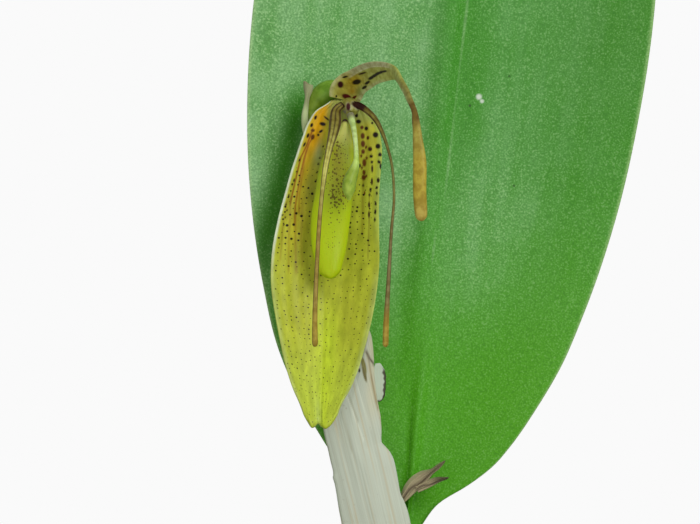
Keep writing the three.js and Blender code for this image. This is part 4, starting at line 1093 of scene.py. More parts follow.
def painted_finish(name, roughness, grain_mm, bump_mm, shade, subsurface=0.1):
    """Fleshy flower tissue: it shows the piece's own tint, dimmed in clouds through a tinted shade."""
    material, tree, here = new_material(name)
    tint = add_node(tree, "ShaderNodeAttribute", attribute_name="tint")
    cloud = add_node(tree, "ShaderNodeTexNoise", {
        "Vector": here, "Scale": 1 / (grain_mm * MM), "Detail": 3.0})
    tint = veiled(tree, tint, shade, cloud, 0.42, 0.62, blend="MULTIPLY")
    skinned(tree, tint, cloud, 0.4, bump_mm, {
        **FLESH, "Roughness": roughness, "Subsurface Weight": subsurface,
        "Subsurface Radius": (0.6, 0.5, 0.2), "Subsurface Scale": 0.4 * MM})
    return material


def make_petal(name, node, points, halves, lines, root, pale, dusky, finish):
    """A thread-like petal, striped at its base and drawn out into a tail with a thicker tip. Its dark root
    takes the share root of its length."""
    piece, u, s, _ = blade(name, Course(points), TOWARDS_VIEWER, spread(halves),
                           lambda s, u: 0.22 + 0.12 * smooth(0.75, 1, s), 180, 30, finish, tip=0.015, rim=3)
    tint = layered(ground("#857a34", u), [
        (pale, bell(s, 0.34, 0.16) * 0.9),
        (dusky, smooth(0.42, 0.62, s)),
        ("#ae963c", smooth(0.82, 0.92, s)),
    ])
    for line in lines:
        tint = lay(tint, "#35201a", bell(u, line, 0.13) * (0.9 - 0.7 * smooth(0.1, 0.5, s)))
    tint = lay(tint, "#4d3328", smooth(0.65, 0.92, np.abs(u)) * smooth(0.87, 0.78, s) * 0.85)
    store(piece, "tint", lay(tint, "#35160e", smooth(1.2 * root, 0.9 * root, s)))
    settle(piece, "petal", node)


def lip_finish():
    """Warty lip skin: satin yellow-green with brown specks an eighth of a millimetre apart."""
    material, tree, here = new_material("warty_lip")
    tint = add_node(tree, "ShaderNodeAttribute", attribute_name="tint")
    cells = add_node(tree, "ShaderNodeTexVoronoi", {"Vector": here, "Scale": 1 / (0.14 * MM)})
    chance = add_node(tree, "ShaderNodeSeparateColor", {0: cells.outputs["Color"]}).outputs[0]
    dotting = add_node(tree, "ShaderNodeAttribute", attribute_name="dotting").outputs["Fac"]
    reach = add_node(tree, "ShaderNodeMath", {0: chance, 1: dotting}, operation="MULTIPLY")
    inside = add_node(tree, "ShaderNodeMath", {0: reach, 1: cells.outputs["Distance"]}, operation="SUBTRACT")
    tint = veiled(tree, tint, "#54400c", inside, 0, 0.1, 0.85)
    warts = add_node(tree, "ShaderNodeTexNoise", {"Vector": here, "Scale": 1 / (0.15 * MM), "Detail": 2.0})
    skinned(tree, tint, warts, 0.3, 0.05, {**FLESH, "Roughness": 0.4, "Subsurface Scale": 0.3 * MM})
    return material


def make_lip(finish):
    """The tongue-shaped lip, arched across, with a blunt end."""
    course = Course([
        (-0.32, -7.65, 146.35), (-0.37, -7.85, 145.9), (-0.6, -8.05, 144.77), (-0.76, -8.25, 143.63),
        (-0.88, -8.3, 142.63), (-1.08, -8.35, 141.37), (-1.3, -8.4, 139.7), (-1.38, -8.5, 138.4),
        (-1.4, -8.75, 137), (-1.25, -8.9, 135.8),
    ])
    halves = [
        (0, 0.2), (0.04, 0.34), (0.145, 0.76), (0.252, 1.1), (0.345, 1.26), (0.463, 1.26), (0.62, 1.3),
        (0.74, 1.24), (0.87, 1.02), (0.95, 0.76), (1, 0.5),
    ]
    piece, u, s, _ = blade("tongue_lip", course, TOWARDS_VIEWER, halves, 0.45, 120, 60, finish,
                           lift=lambda s, u: -0.2 * u * u - 0.02 * bell(u, 0, 0.3), tip=0.05, rim=4)
    right, down = seen(piece)
    tint = layered(ground("#acc20a", u), [
        ("#9cab20", smooth(0.6, 0.42, s)),
        ("#8f8c20", bell(right, -0.85, 0.55) * bell(down, 3.6, 2.2) * 0.85),
        ("#c2c662", smooth(0.2, 0.08, s)),
    ])
    store(piece, "tint", lay(tint, "#2c1610", smooth(0.03, 0.01, s)))
    store(piece, "dotting", 0.75 * bell(right, -0.85, 0.75) * smooth(1.6, 2.3, down) * smooth(8.2, 5, down)
          + 0.42 * smooth(0.3, 0.5, s) * smooth(0.97, 0.8, s) * bell(u, -0.15, 0.6))
    settle(piece, "lip", "lip")


def make_column(finish):
    """The slender column that hangs over the lip, with its pale cap."""
    course = Course([
        (0.03, -7.6, 146.7), (0.23, -8.6, 145.85), (0.37, -9.8, 144.7), (0.4, -10.4, 143.54),
        (0.27, -10.5, 143), (0.03, -10.6, 142.4), (-0.07, -10.7, 141.9), (-0.07, -10.6, 141),
    ])
    piece = tube("column_with_cap", course,
                 [0.27, 0.21, 0.18, 0.17, 0.16, 0.15, 0.18, 0.33, 0.44, 0.42, 0.1], finish, 90, 28)
    s = place_of(piece)[2]
    tint = layered(ground("#cce294", s), [
        ("#c2dc74", smooth(0.5, 0.62, s)),
        ("#96ae3e", smooth(0.62, 0.74, s)),
        ("#b2ca54", smooth(0.82, 0.92, s)),
    ])
    store(piece, "tint", lay(tint, "#8d8a6a", smooth(0.1, 0.03, s)))
    settle(piece, "column", "column")


def make_hub(finish):
    """The knob in the flower's middle, with its dark patches and their cream outlines."""
    knob = tube("flower_hub", Course([
        (-0.4, -5.2, 147.7), (-0.1, -6.0, 147.5), (0.08, -6.9, 147.25), (0.12, -7.7, 147.12),
    ]), [0.5, 0.6, 0.62, 0.6, 0.5, 0.12], finish, 110, 84)
    right, down = seen(knob)
    tint = ground("#a8a850", right)
    tint = spotted(tint, right, down, [
        (-0.12, -0.04, 0.18, 0.3, 0, "#c4bf9c"), (0.44, -0.12, 0.42, 0.24, 0.5, "#bfbc92"),
        (-0.11, -0.05, 0.13, 0.24, 0, "#5c2c34"), (0.45, -0.13, 0.36, 0.18, 0.5, "#35160e"),
        (-0.42, 0.45, 0.16, 0.3, 0.2, "#8a8478"), (0.05, 0.5, 0.24, 0.16, 0, "#7c6a40"),
        (-0.36, 0.72, 0.16, 0.2, 0.2, "#2c1810"),
    ])
    store(knob, "tint", tint)
    settle(knob, "flower_stalk")


def make_stalks(finish):
    """The flower stalk, and the ovary that arches from its end to the flower."""
    peduncle = tube("flower_stalk", Course([
        (2.2, -4.1, 115.55), (1.1, -4, 119.8), (0.14, -3.9, 124.2), (-1.02, -3.9, 129.6),
        (-1.96, -4.1, 136.4), (-2.5, -4.4, 142.4), (-2.63, -4.6, 144.9),
    ]), [0.38, 0.38, 0.42], finish, 60, 16)
    s = place_of(peduncle)[2]
    store(peduncle, "tint", lay(ground("#7f9f4a", s), "#a8a878", bell(s, 0.1, 0.2)))
    settle(peduncle, "flower_stalk", "peduncle")
    ovary = tube("arching_ovary", Course([
        (-2.63, -4.7, 145.25), (-2.6, -4.75, 146.3), (-2.45, -4.8, 147.1), (-2.05, -4.85, 147.9),
        (-1.4, -4.9, 148.4), (-0.8, -5, 148.4), (-0.42, -5.2, 148.1),
    ]), [0.42, 0.45, 0.55, 0.68, 0.8, 0.74, 0.6], finish, 60, 32)
    s = place_of(ovary)[2]
    tint = lay(ground("#93a258", s), "#76902a", smooth(0.12, 0.35, s))
    tint = lay(tint, "#749c32", smooth(0.5, 0.75, s))
    store(ovary, "tint", lay(tint, "#98a648", smooth(0.85, 1.0, s) * 0.8))
    settle(ovary, "flower_stalk", "ovary")


def make_bracts(finish):
    """The papery bract at the ovary's foot, and the two dry points that an earlier flower left."""
    course = Course([
        (-3.0, -5.2, 145.2), (-3.12, -5.3, 146.1), (-3.12, -5.4, 146.9), (-2.98, -5.3, 147.7),
        (-2.9, -5.2, 148.5), (-2.95, -5.1, 149.15),
    ])
    halves = [(0, 0.1), (0.15, 0.22), (0.4, 0.24), (0.58, 0.18), (0.72, 0.2), (0.88, 0.38), (1, 0.34)]
    piece, u, s, _ = blade("floral_bract_skin", course, (-0.5, -0.85, 0), halves, 0.18, 80, 24, finish,
                           lift=lambda s, u: -0.2 * u * u,
                           pull=lambda s, u: 0.35 * smooth(0.9, 1, s) * smooth(-0.6, 1, u),
                           tip=0.03, rim=4, blunt=True)
    tint = lay(ground("#8e9466", u), "#bccc92", smooth(0.65, 0.45, s) * 0.9)
    store(piece, "tint", lay(tint, "#8a7656", smooth(0.94, 1.0, s) * 0.8))
    settle(piece, "dry_bract", "floral_bract")
    for name, points, halves, dark in (
        ("dry_spathe_upper", [
            (3.45, -4.6, 120.7), (4.2, -4.9, 121.75), (4.95, -5.1, 122.4), (5.7, -5.2, 122.9),
            (6.42, -5.3, 123.5),
        ], [0.22, 0.36, 0.46, 0.5, 0.42, 0.2, 0.16, 0.05], 0.5),
        ("dry_spathe_lower", [
            (4.5, -4.95, 121.6), (5.3, -5.1, 121.95), (5.9, -5.2, 122.2), (6.65, -5.3, 122.35),
        ], [0.3, 0.28, 0.2, 0.05], 0.85),
    ):
        piece, u, s, _ = blade(name, Course(points), TOWARDS_VIEWER, spread(halves), 0.25, 60, 30, finish,
                               lift=lambda s, u: -0.2 * u * u + 0.06 * np.sin(9 * u), tip=0.05, rim=4)
        tint = lay(ground("#a89c78", u), "#4e3a2a", bell(u + 0.25 * np.sin(9 * s), 0.15, 0.28) * 0.85)
        tint = lay(tint, "#b9b488", smooth(-0.5, -0.85, u) * 0.8)
        store(piece, "tint", lay(tint, "#3a3218", smooth(0.35, 0.8, s) * dark))
        settle(piece, "dry_bract", "dry_spathe")


class ORCHID_OT_flower(bpy.types.Operator):
    """Make the flower with its stalk, ovary and bracts"""

    bl_idname = "orchid.flower"
    bl_label = "Flower"

    def execute(self, context):
        make_synsepal()
        soft = painted_finish("fleshy_petal", 0.45, 0.4, 0.03, "#dcd4be")
        make_dorsal_sepal(soft)
        make_petal("left_petal", "petal_left", [
            (-0.5, -7.2, 147.45), (-0.88, -7.5, 147.1), (-0.98, -8.4, 146.3), (-1.1, -9.6, 145.5),
            (-1.38, -11, 144.3), (-1.64, -12, 142.9), (-1.96, -13, 140), (-2.16, -13.3, 136.7),
            (-2.29, -13.2, 133.4), (-2.29, -13, 131.35),
        ], [0.22, 0.4, 0.33, 0.23, 0.18, 0.14, 0.14, 0.14, 0.14, 0.15, 0.17, 0.2],
            (-0.72, 0.0, 0.72), 0.005, "#cccb6a", "#a48e44", soft)
        make_petal("right_petal", "petal_right", [
            (0.2, -7.2, 147.45), (0.7, -7.45, 147.3), (1.35, -8, 146.8), (1.75, -8.5, 146.3),
            (2.1, -9, 145.6), (2.45, -9.7, 144.6), (2.78, -10.4, 143.2), (2.9, -11.1, 141.1),
            (2.72, -11.7, 138.9), (2.5, -12.1, 135.2), (2.38, -12, 133), (2.33, -11.8, 131.3),
        ], [0.24, 0.2, 0.14, 0.1, 0.09, 0.09, 0.1, 0.11, 0.13, 0.15, 0.19, 0.2],
            (-0.5, 0.6), 0.055, "#7c7c40", "#84784a", soft)
        make_lip(lip_finish())
        make_column(painted_finish("waxy_column", 0.35, 0.4, 0.02, "#dce6c8", 0.2))
        make_hub(soft)
        make_stalks(painted_finish("green_stalk", 0.35, 0.6, 0.03, "#ccd8a8"))
        make_bracts(bpy.data.materials.get("papery_sheath") or paper_finish())
        return {"FINISHED"}


def lathe(name, profile, sides, jitter=None):
    """Turns a profile of (radius, height) points round the upright axis. Its two ends lie on the axis."""
    angle = 2 * np.pi * np.arange(sides) / sides
    rings = [[radius * np.cos(angle), radius * np.sin(angle), np.full(sides, height)]
             for radius, height in profile[1:-1]]
    points = np.array(rings).transpose(0, 2, 1).reshape(-1, 3)
    if jitter:
        points = jitter(points)
    ends = np.array([(0, 0, profile[0][1]), (0, 0, profile[-1][1])])
    index, faces = ringed(len(points) // sides, sides)
    first, last = len(points), len(points) + 1
    faces += [[first, int(b), int(a)] for a, b in zip(index[0], np.roll(index[0], -1))]
    faces += [[last, int(a), int(b)] for a, b in zip(index[-1], np.roll(index[-1], -1))]
    return new_mesh(name, np.vstack([points, ends]), faces)


def eased(profile, reach, steps=5):
    """A profile whose corners are rounded over a reach in millimetres."""
    points = [np.array(p, float) for p in profile]
    line = [points[0]]
    for before, corner, after in zip(points, points[1:], points[2:]):
        start = corner + unit(before - corner) * min(reach, np.linalg.norm(before - corner) * 0.45)
        end = corner + unit(after - corner) * min(reach, np.linalg.norm(after - corner) * 0.45)
        shares = np.linspace(0, 1, steps)
        line += [(1 - t) ** 2 * start + 2 * t * (1 - t) * corner + t * t * end for t in shares]
    line.append(points[-1])
    full = [line[0]]
    for start, end in zip(line, line[1:]):
        parts = max(1, int(np.linalg.norm(end - start) / 2.5))
        full += [start + (end - start) * k / parts for k in range(1, parts + 1)]
    return [tuple(p) for p in full]


def clay_finish(settings):
    """Unglazed fired clay: matt orange-brown, mottled and sandy, with a thin lime efflorescence in patches,
    a green cast low down where it stays damp, and faint turning marks half a millimetre apart."""
    material, tree, here = new_material("fired_clay")
    height = add_node(tree, "ShaderNodeSeparateXYZ", {0: here}).outputs["Z"]
    patch = add_node(tree, "ShaderNodeTexNoise", {"Vector": here, "Scale": 1 / (14 * MM), "Detail": 5.0})
    tint = veiled(tree, (*settings.clay, 1), "#9c5236", patch, 0.36, 0.66, 0.7)
    sand = add_node(tree, "ShaderNodeTexNoise", {"Vector": here, "Scale": 1 / (0.6 * MM), "Detail": 3.0})
    tint = veiled(tree, tint, "#c98f6c", sand, 0.55, 0.72, 0.5)
    tint = veiled(tree, tint, "#6f3a28", sand, 0.42, 0.3, 0.5)
    drift = add_node(tree, "ShaderNodeMapping", {"Vector": here, "Scale": (1, 1, 1.6)})
    lime = add_node(tree, "ShaderNodeTexNoise", {
        "Vector": drift, "Scale": 1 / (6 * MM), "Detail": 8.0, "Roughness": 0.7})
    dry = add_node(tree, "ShaderNodeMapRange", {
        "Value": height, "From Max": settings.height, "To Min": 0.6, "To Max": 0.25})
    tint = veiled(tree, tint, "#d3c2ae", lime, 0.46, 0.74, dry)
    algae = add_node(tree, "ShaderNodeTexNoise", {"Vector": here, "Scale": 1 / (5 * MM), "Detail": 5.0})
    damp = add_node(tree, "ShaderNodeMapRange", {
        "Value": height, "From Min": 16 * MM, "From Max": 0.0, "To Max": 0.8})
    tint = veiled(tree, tint, "#6d7040", algae, 0.45, 0.7, damp)
    rings = add_node(tree, "ShaderNodeMapping", {"Vector": here, "Scale": (0.025 / MM, 0.025 / MM, 2 / MM)})
    rings = add_node(tree, "ShaderNodeTexNoise", {"Vector": rings, "Scale": 1.0, "Detail": 2.0})
    relief = add_node(tree, "ShaderNodeMath", {0: sand, 1: rings}, operation="ADD")
    skinned(tree, tint, relief, 0.5, 0.18, {"Roughness": 0.88, "Specular IOR Level": 0.25})
    return material


class PotSettings(bpy.types.PropertyGroup):
    height: FloatProperty(name="Height", description="Height of the pot", default=62 * MM, unit="LENGTH")
    clay: FloatVectorProperty(name="Clay", description="Colour of the fired clay", subtype="COLOR", size=3,
                              default=linear("#bb6d4b")[:3])


class ORCHID_OT_pot(bpy.types.Operator):
    """Make the clay pot with its drain holes"""

    bl_idname = "orchid.pot"
    bl_label = "Clay pot"

    def execute(self, context):
        settings = context.scene.orchid_pot
        tall = settings.height / MM
        profile = [
            (0, 0.6), (17, 0.6), (18.5, 0), (23, 0), (24, 1), (32.4, 48.4), (34.8, 49), (35.3, 50),
            (36, tall - 1.5), (34.8, tall), (31, tall), (30, tall - 1), (22, 6.5), (20, 4.5), (0, 4.5),
        ]
        pot = lathe("clay_pot", eased(profile, 0.9), 144)
        holes = bmesh.new()
        for k in range(4):
            angle = math.radians(45 + 90 * k)
            middle = Vector((math.cos(angle), math.sin(angle), 0)) * DRAIN_CIRCLE * MM
            cut = bmesh.ops.create_cone(holes, cap_ends=True, segments=36, radius1=DRAIN_RADIUS * MM,
                                        radius2=DRAIN_RADIUS * MM, depth=20 * MM)
            bmesh.ops.translate(holes, verts=cut["verts"], vec=middle)
        cutter = new_mesh("drain_cutter", [], [])
        holes.to_mesh(cutter.data)
        holes.free()
        pot.modifiers.new("drain holes", "BOOLEAN").object = cutter
        mesh = baked(pot)
        bpy.data.objects.remove(cutter)
        mesh.materials.append(clay_finish(settings))
        mesh.shade_smooth()
        mesh.set_sharp_from_angle(angle=math.radians(50))
        settle(pot, "terracotta", "pot")
        return {"FINISHED"}


def bark_finish():
    """Fir bark: matt, layered and fibrous, from near black to tan, each chip in its own shade."""
    material, tree, here = new_material("fir_bark")
    shade = add_node(tree, "ShaderNodeAttribute", attribute_name="shade").outputs["Fac"]
    tint = add_node(tree, "ShaderNodeMix", {0: shade, 6: linear("#3a281d"), 7: linear("#8a6746")},
                    data_type="RGBA")
    flat = add_node(tree, "ShaderNodeMapping", {"Vector": here, "Scale": (0.6 / MM, 0.6 / MM, 2.9 / MM)})
    layers = add_node(tree, "ShaderNodeTexNoise", {"Vector": flat, "Scale": 1.0, "Detail": 4.0})
    tint = veiled(tree, tint, "#1f1511", layers, 0.36, 0.64, 0.6)
    dust = add_node(tree, "ShaderNodeTexNoise", {"Vector": here, "Scale": 1 / (1.6 * MM), "Detail": 5.0})
    tint = veiled(tree, tint, "#a58e70", dust, 0.56, 0.72, 0.4)
    skinned(tree, tint, layers, 0.7, 0.25, {"Roughness": 0.85, "Specular IOR Level": 0.3})
    return material


def plain_finish(name, low, high, size_mm, roughness, depth_mm):
    """A matt natural finish that wanders between two colours."""
    material, tree, here = new_material(name)
    cloud = add_node(tree, "ShaderNodeTexNoise", {
        "Vector": here, "Scale": 1 / (size_mm * MM), "Detail": 5.0})
    tint = veiled(tree, linear(low), high, cloud, 0.35, 0.65)
    skinned(tree, tint, cloud, 0.6, depth_mm, {"Roughness": roughness, "Specular IOR Level": 0.3})
    return material


def lump(name, size, rounding, seed):
    """A small uneven block with eased corners, one millimetre by the given size, standing on its middle."""
    shape = bmesh.new()
    bmesh.ops.create_cube(shape, size=1)
    bmesh.ops.bevel(shape, geom=shape.edges[:], offset=rounding, segments=1, affect="EDGES")
    rand = random.Random(seed)
    for vertex in shape.verts:
        for k in range(3):
            vertex.co[k] *= size[k] * (1 + rand.uniform(-0.16, 0.16)) * MM
    piece = new_mesh(name, [], [])
    shape.to_mesh(piece.data)
    shape.free()
    return piece


def moss_tuft():
    """A tiny shoot of moss: eleven pointed leaves round a short axis, each a thin closed spike."""
    points, faces = [], []
    for k in range(11):
        angle = 2.4 * k
        lean = 1.25 - 0.1 * k
        base = np.array([0, 0, 0.07 * k])
        flat = math.sin(lean)
        ahead = np.array([math.cos(angle) * flat, math.sin(angle) * flat, math.cos(lean)])
        side = np.array([-math.sin(angle), math.cos(angle), 0]) * 0.13
        up = np.cross(ahead, side) * -0.4
        start = len(points)
        points += [base + side, base - side, base + up, base + ahead * (0.85 - 0.03 * k)]
        faces += [
            (start, start + 2, start + 3), (start + 2, start + 1, start + 3), (start + 1, start, start + 3),
            (start, start + 1, start + 2),
        ]
    piece = new_mesh("moss_tuft", points, faces)
    tidy = bmesh.new()
    tidy.from_mesh(piece.data)
    bmesh.ops.recalc_face_normals(tidy, faces=tidy.faces)
    tidy.to_mesh(piece.data)
    tidy.free()
    return piece


def cushion(name, centre, radius, height, seed):
    """The dome that a cushion of moss grows on, from its flat underside to its uneven top."""
    profile = [(0, 0.3)] + [(radius * k / 6, 0.3) for k in range(1, 7)]
    profile += [(radius * math.cos(a), 0.9 + height * math.sin(a)) for a in np.linspace(0.08, 1.5, 12)]
    profile += [(0, 0.9 + height)]

    def jitter(points):
        angle = np.arctan2(points[:, 1], points[:, 0])
        wide = 1 + 0.12 * np.sin(3 * angle + seed)
        rise = [1 + 0.35 * noise.noise(Vector((x * 0.35, y * 0.35, seed))) for x, y, z in points]
        x, y = points[:, 0] * wide + centre[0], points[:, 1] * wide + centre[1]
        return np.stack([x, y, mound_top(x, y) + points[:, 2] * rise], -1)

    dome = lathe(name, profile, 48, jitter)
    ends = dome.data.vertices[-2:]
    for vertex, above in zip(ends, (0.3, 0.9 + height)):
        vertex.co = Vector((centre[0], centre[1], mound_top(*centre) + above)) * MM
    return dome


def merge(name, *pieces):
    """Joins finished pieces into the first, and gives it a name."""
    with bpy.context.temp_override(active_object=pieces[0], selected_editable_objects=list(pieces)):
        bpy.ops.object.join()
    pieces[0].name = name
    return pieces[0]


class MixSettings(bpy.types.PropertyGroup):
    chip_spacing: FloatProperty(name="Chip spacing", description="Least distance between bark chips",
                                default=2.7 * MM, unit="LENGTH")
    seed: IntProperty(name="Seed", description="Changes how the chips and the moss lie", default=4)


class ORCHID_OT_mix(bpy.types.Operator):
    """Make the bark mix, the moss, the rhizome and the roots"""

    bl_idname = "orchid.mix"
    bl_label = "Mix, moss and roots"

    def execute(self, context):
        settings = context.scene.orchid_mix
        bark = bark_finish()
        bed = self.make_bed(bark)
        chip = lump("chip_pattern", (7.4, 4.2, 2.8), 0.14, 1)
        crumb = lump("crumb_pattern", (1.5, 1.2, 0.9), 0.25, 2)
        stone = lump("perlite_pattern", (2.3, 2.1, 1.9), 0.3, 3)
        chips = strew("bark_chips", bed, chip, bark, settings.chip_spacing / MM, 30, settings.seed,
                      (0.55, 0.6, 0.5), (1.15, 1.1, 1.1), 0.55, 0.9)
        crumbs = strew("bark_crumbs", bed, crumb, bark, 1.1, 60, settings.seed + 1, (0.6, 0.6, 0.6),
                       (1.5, 1.4, 1.5), 1.0, 0.3)
        settle(merge("fir_bark_mix", bed, chips, crumbs), "bark_mix", "potting_mix")
        self.make_perlite(stone, settings)
        self.make_moss(settings)
        self.make_roots()
        for pattern in (chip, crumb, stone):
            bpy.data.objects.remove(pattern)
        return {"FINISHED"}

    def make_bed(self, bark):
        """The bed that fills the pot, with an uneven top that chips grow on where it is wide open."""
        profile = [(0, 4.9)] + [(r, 4.9) for r in (5, 10, 15, 19)] + [(21.6, 7.5), (28.4, 47)]
        profile += [(r, 0) for r in np.linspace(28.2, 1.2, 24)] + [(0, 0)]

        def jitter(points):
            top = points[:, 2] == 0
            rise = [1.5 * noise.noise(Vector((x * 0.22, y * 0.22, 3.1))) for x, y, z in points]
            points[:, 2] = np.where(top, mound_top(points[:, 0], points[:, 1]) - BED_SINK + rise,
                                    points[:, 2])
            return points

        bed = lathe("mix_bed", profile, 96, jitter)
        bed.data.vertices[-1].co.z = (mound_top(0, 0) - BED_SINK) * MM
        bed.data.materials.append(bark)
        at = points_of(bed)
        store(bed, "growth", (at[:, 2] > 46.5) * smooth(28.4, 26.5, np.hypot(at[:, 0], at[:, 1])))
        store(bed, "shade", np.full(len(at), 0.12))
        return bed

    def make_perlite(self, stone, settings):
        """White perlite between the chips."""
        white = plain_finish("perlite", "#e6e2d8", "#c9c2b2", 0.8, 0.9, 0.2)
        surface = self.make_bed(white)
        pieces = strew("perlite", surface, stone, white, 4.2, 6, settings.seed + 2, (0.5, 0.5, 0.5),
                       (1.1, 1.1, 1.0), 1.5, 0.8)
        bpy.data.objects.remove(surface)
        at = pieces.data
        shift = np.array([v.co[:] for v in at.vertices]) + (0, 0, 1.1 * MM)
        at.vertices.foreach_set("co", shift.astype(np.float32).ravel())
        settle(pieces, "bark_mix")

    def make_moss(self, settings):
        """Cushions of moss, each a dome grown over with tiny shoots."""
        green = self.moss_finish()
        tuft = moss_tuft()
        for name, centre, radius, height, seed in MOSS:
            dome = cushion(name + "_cushion", centre, radius, height, seed)
            dome.data.materials.append(green)
            at = points_of(dome)
            store(dome, "growth", smooth(0.2, 0.9, at[:, 2] - mound_top(at[:, 0], at[:, 1])))
            store(dome, "shade", np.full(len(at), 0.1))
            shoots = strew(name + "_shoots", dome, tuft, green, 0.34, 1500, settings.seed, (0.75, 0.75, 0.8),
                           (1.25, 1.25, 1.7), 0.5, 0.25)
            settle(merge(name + "_cushion", dome, shoots), "moss", name)
        bpy.data.objects.remove(tuft)

    def moss_finish(self):
        """Cushion moss: matt, deep green in its folds and yellow-green at its tips."""
        material, tree, here = new_material("cushion_moss")
        shade = add_node(tree, "ShaderNodeAttribute", attribute_name="shade").outputs["Fac"]
        tint = add_node(tree, "ShaderNodeMix", {0: shade, 6: linear("#36500f"), 7: linear("#8aa036")},
                        data_type="RGBA")
        patch = add_node(tree, "ShaderNodeTexNoise", {
            "Vector": here, "Scale": 1 / (3.5 * MM), "Detail": 3.0})
        tint = veiled(tree, tint, "#748f26", patch, 0.4, 0.62, 0.5)
        shader = add_node(tree, "ShaderNodeBsdfPrincipled", {
            "Base Color": tint, "Roughness": 0.8, "Specular IOR Level": 0.25})
        add_node(tree, "ShaderNodeOutputMaterial", {"Surface": shader})
        return material

    def make_roots(self):
        """The rhizome and its roots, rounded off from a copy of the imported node."""
        packed = bpy.data.objects["rhizome_roots"]
        roots = new_mesh("rhizome_and_roots", [], [])
        tidy = bmesh.new()
        tidy.from_mesh(packed.data)
        bmesh.ops.remove_doubles(tidy, verts=tidy.verts, dist=1e-6)
        tidy.to_mesh(roots.data)
        tidy.free()
        remesh = roots.modifiers.new("one skin", "REMESH")
        remesh.mode = "VOXEL"
        remesh.voxel_size = 0.34 * MM
        ease = roots.modifiers.new("rounded", "SMOOTH")
        ease.factor = 0.6
        ease.iterations = 5
        mesh = baked(roots)
        mesh.materials.clear()
        mesh.materials.append(plain_finish("root_velamen", "#b9b295", "#8f8a62", 1.8, 0.75, 0.12))
        mesh.shade_smooth()
        settle(roots, "root", "rhizome_roots")


class StageSettings(bpy.types.PropertyGroup):
    key_power: FloatProperty(name="Key light", description="Power of the key light", default=2.05,
                             unit="POWER")
    ambient: FloatProperty(name="Ambient", description="Strength of the light from all round", default=0.38)


def stage_mesh(name, points, faces, material):
    """A mesh in metres that belongs to the stage, not to the part."""
    mesh = bpy.data.meshes.new(name)
    mesh.from_pydata(points, [], faces)
    mesh.materials.append(material)
    piece = bpy.data.objects.new(name, mesh)
    bpy.context.scene.collection.objects.link(piece)
    return piece


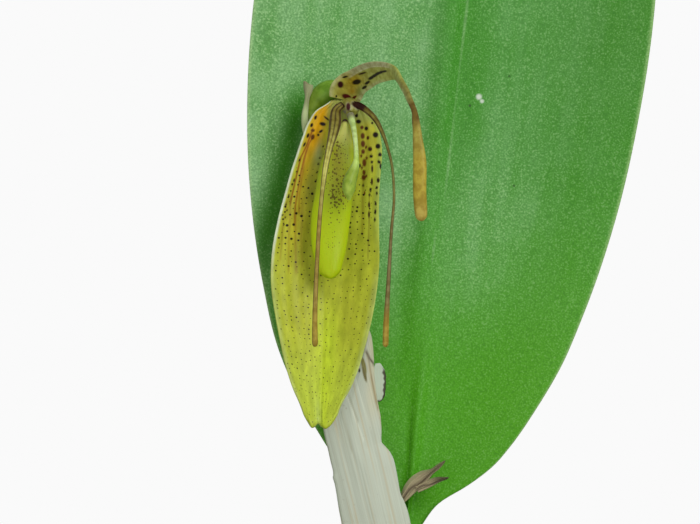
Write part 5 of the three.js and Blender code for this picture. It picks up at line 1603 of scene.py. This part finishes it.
class ORCHID_OT_stage(bpy.types.Operator):
    """Set up the camera, the lights and the white ground"""

    bl_idname = "orchid.stage"
    bl_label = "Stage"

    def execute(self, context):
        settings = context.scene.orchid_stage
        self.make_camera(context.scene)
        self.make_lights(context.scene, settings)
        self.make_backdrop()
        return {"FINISHED"}

    def make_camera(self, scene):
        """A long lens straight in front of the flower, as the photograph was taken."""
        camera = bpy.data.objects.new("camera", bpy.data.cameras.new("camera"))
        scene.collection.objects.link(camera)
        camera.data.lens = 200
        camera.data.sensor_width = 36
        camera.data.clip_start = 0.01
        camera.data.clip_end = 30
        camera.location = CAMERA_AT
        camera.rotation_euler = (math.pi / 2, 0, 0)
        scene.camera = camera

    def make_lights(self, scene, settings):
        """A key light from the right and above, a weak fill from the left, and a rim light from behind."""
        scene.view_settings.view_transform = "Standard"
        world = bpy.data.worlds.new("studio")
        scene.world = world
        world.use_nodes = True
        background = world.node_tree.nodes["Background"]
        background.inputs["Color"].default_value = (1, 1, 1, 1)
        background.inputs["Strength"].default_value = settings.ambient
        for name, place, aim, size, power in (
            ("key", (0.24, -0.46, 0.4), (0, 0, 0.13), 0.3, settings.key_power),
            ("fill", (-0.16, -0.54, 0.02), (0, 0, 0.14), 0.4, 0.3 * settings.key_power),
            ("rim", (0.1, 0.5, 0.5), (0, 0, 0.12), 0.4, 0.45 * settings.key_power),
        ):
            light = bpy.data.objects.new(name, bpy.data.lights.new(name, "AREA"))
            light.data.size = size
            light.data.energy = power
            light.location = place
            light.rotation_euler = (Vector(aim) - Vector(place)).to_track_quat("-Z", "Y").to_euler()
            light.visible_camera = False
            scene.collection.objects.link(light)

    def make_backdrop(self):
        """A white dome that only the camera sees, and a pale floor that fades into it."""
        white, tree, _ = new_material("white_backdrop")
        glow = add_node(tree, "ShaderNodeEmission", {"Color": linear(BACKDROP_WHITE)})
        add_node(tree, "ShaderNodeOutputMaterial", {"Surface": glow})
        shell = bmesh.new()
        bmesh.ops.create_icosphere(shell, subdivisions=4, radius=8)
        points = [v.co[:] for v in shell.verts]
        dome = stage_mesh("backdrop", points, [[v.index for v in f.verts] for f in shell.faces], white)
        shell.free()
        pale, tree, here = new_material("pale_floor")
        far = add_node(tree, "ShaderNodeVectorMath", {0: here}, operation="LENGTH").outputs["Value"]
        fade = add_node(tree, "ShaderNodeMapRange", {"Value": far, "From Min": 0.1, "From Max": 0.8},
                        interpolation_type="SMOOTHSTEP")
        near = add_node(tree, "ShaderNodeBsdfDiffuse", {"Color": linear("#f2f2f0")})
        glow = add_node(tree, "ShaderNodeEmission", {"Color": linear(BACKDROP_WHITE)})
        blend = add_node(tree, "ShaderNodeMixShader", {0: fade, 1: near, 2: glow})
        add_node(tree, "ShaderNodeOutputMaterial", {"Surface": blend})
        turns = [2 * math.pi * k / 96 for k in range(96)]
        rim = [(7.5 * math.cos(turn), 7.5 * math.sin(turn), 0) for turn in turns]
        floor = stage_mesh("floor", rim, [list(range(96))], pale)
        for piece in (dome, floor):
            piece.visible_diffuse = False
            piece.visible_glossy = False
        dome.visible_transmission = False
        dome.visible_shadow = False


class ORCHID_PT_panel(bpy.types.Panel):
    """Lists the pieces of the orchid with their settings"""

    bl_label = "Orchid"
    bl_idname = "ORCHID_PT_panel"
    bl_space_type = "VIEW_3D"
    bl_region_type = "UI"
    bl_category = "Orchid"

    def draw(self, context):
        for operator, group in STEPS:
            column = self.layout.box().column()
            column.operator(operator)
            settings = getattr(context.scene, group, None)
            for label in settings.__annotations__ if settings else ():
                column.prop(settings, label)


GROUPS = {
    "orchid_stage": StageSettings, "orchid_pot": PotSettings, "orchid_mix": MixSettings,
    "orchid_sheath": SheathSettings, "orchid_leaf": LeafSettings,
}
STEPS = (
    ("orchid.stage", "orchid_stage"), ("orchid.pot", "orchid_pot"), ("orchid.mix", "orchid_mix"),
    ("orchid.stems", "orchid_sheath"), ("orchid.leaves", "orchid_leaf"), ("orchid.flower", ""),
)
CLASSES = (*GROUPS.values(), ORCHID_OT_stage, ORCHID_OT_pot, ORCHID_OT_mix, ORCHID_OT_stems,
           ORCHID_OT_leaves, ORCHID_OT_flower, ORCHID_PT_panel)


def register():
    for kind in CLASSES:
        bpy.utils.register_class(kind)
    for label, kind in GROUPS.items():
        setattr(bpy.types.Scene, label, PointerProperty(type=kind))


def unregister():
    for label in GROUPS:
        delattr(bpy.types.Scene, label)
    for kind in reversed(CLASSES):
        bpy.utils.unregister_class(kind)


def main():
    register()
    bpy.ops.orchid.stage()
    bpy.ops.orchid.pot()
    bpy.ops.orchid.mix()
    bpy.ops.orchid.stems()
    bpy.ops.orchid.leaves()
    bpy.ops.orchid.flower()


if __name__ == "__main__":
    main()
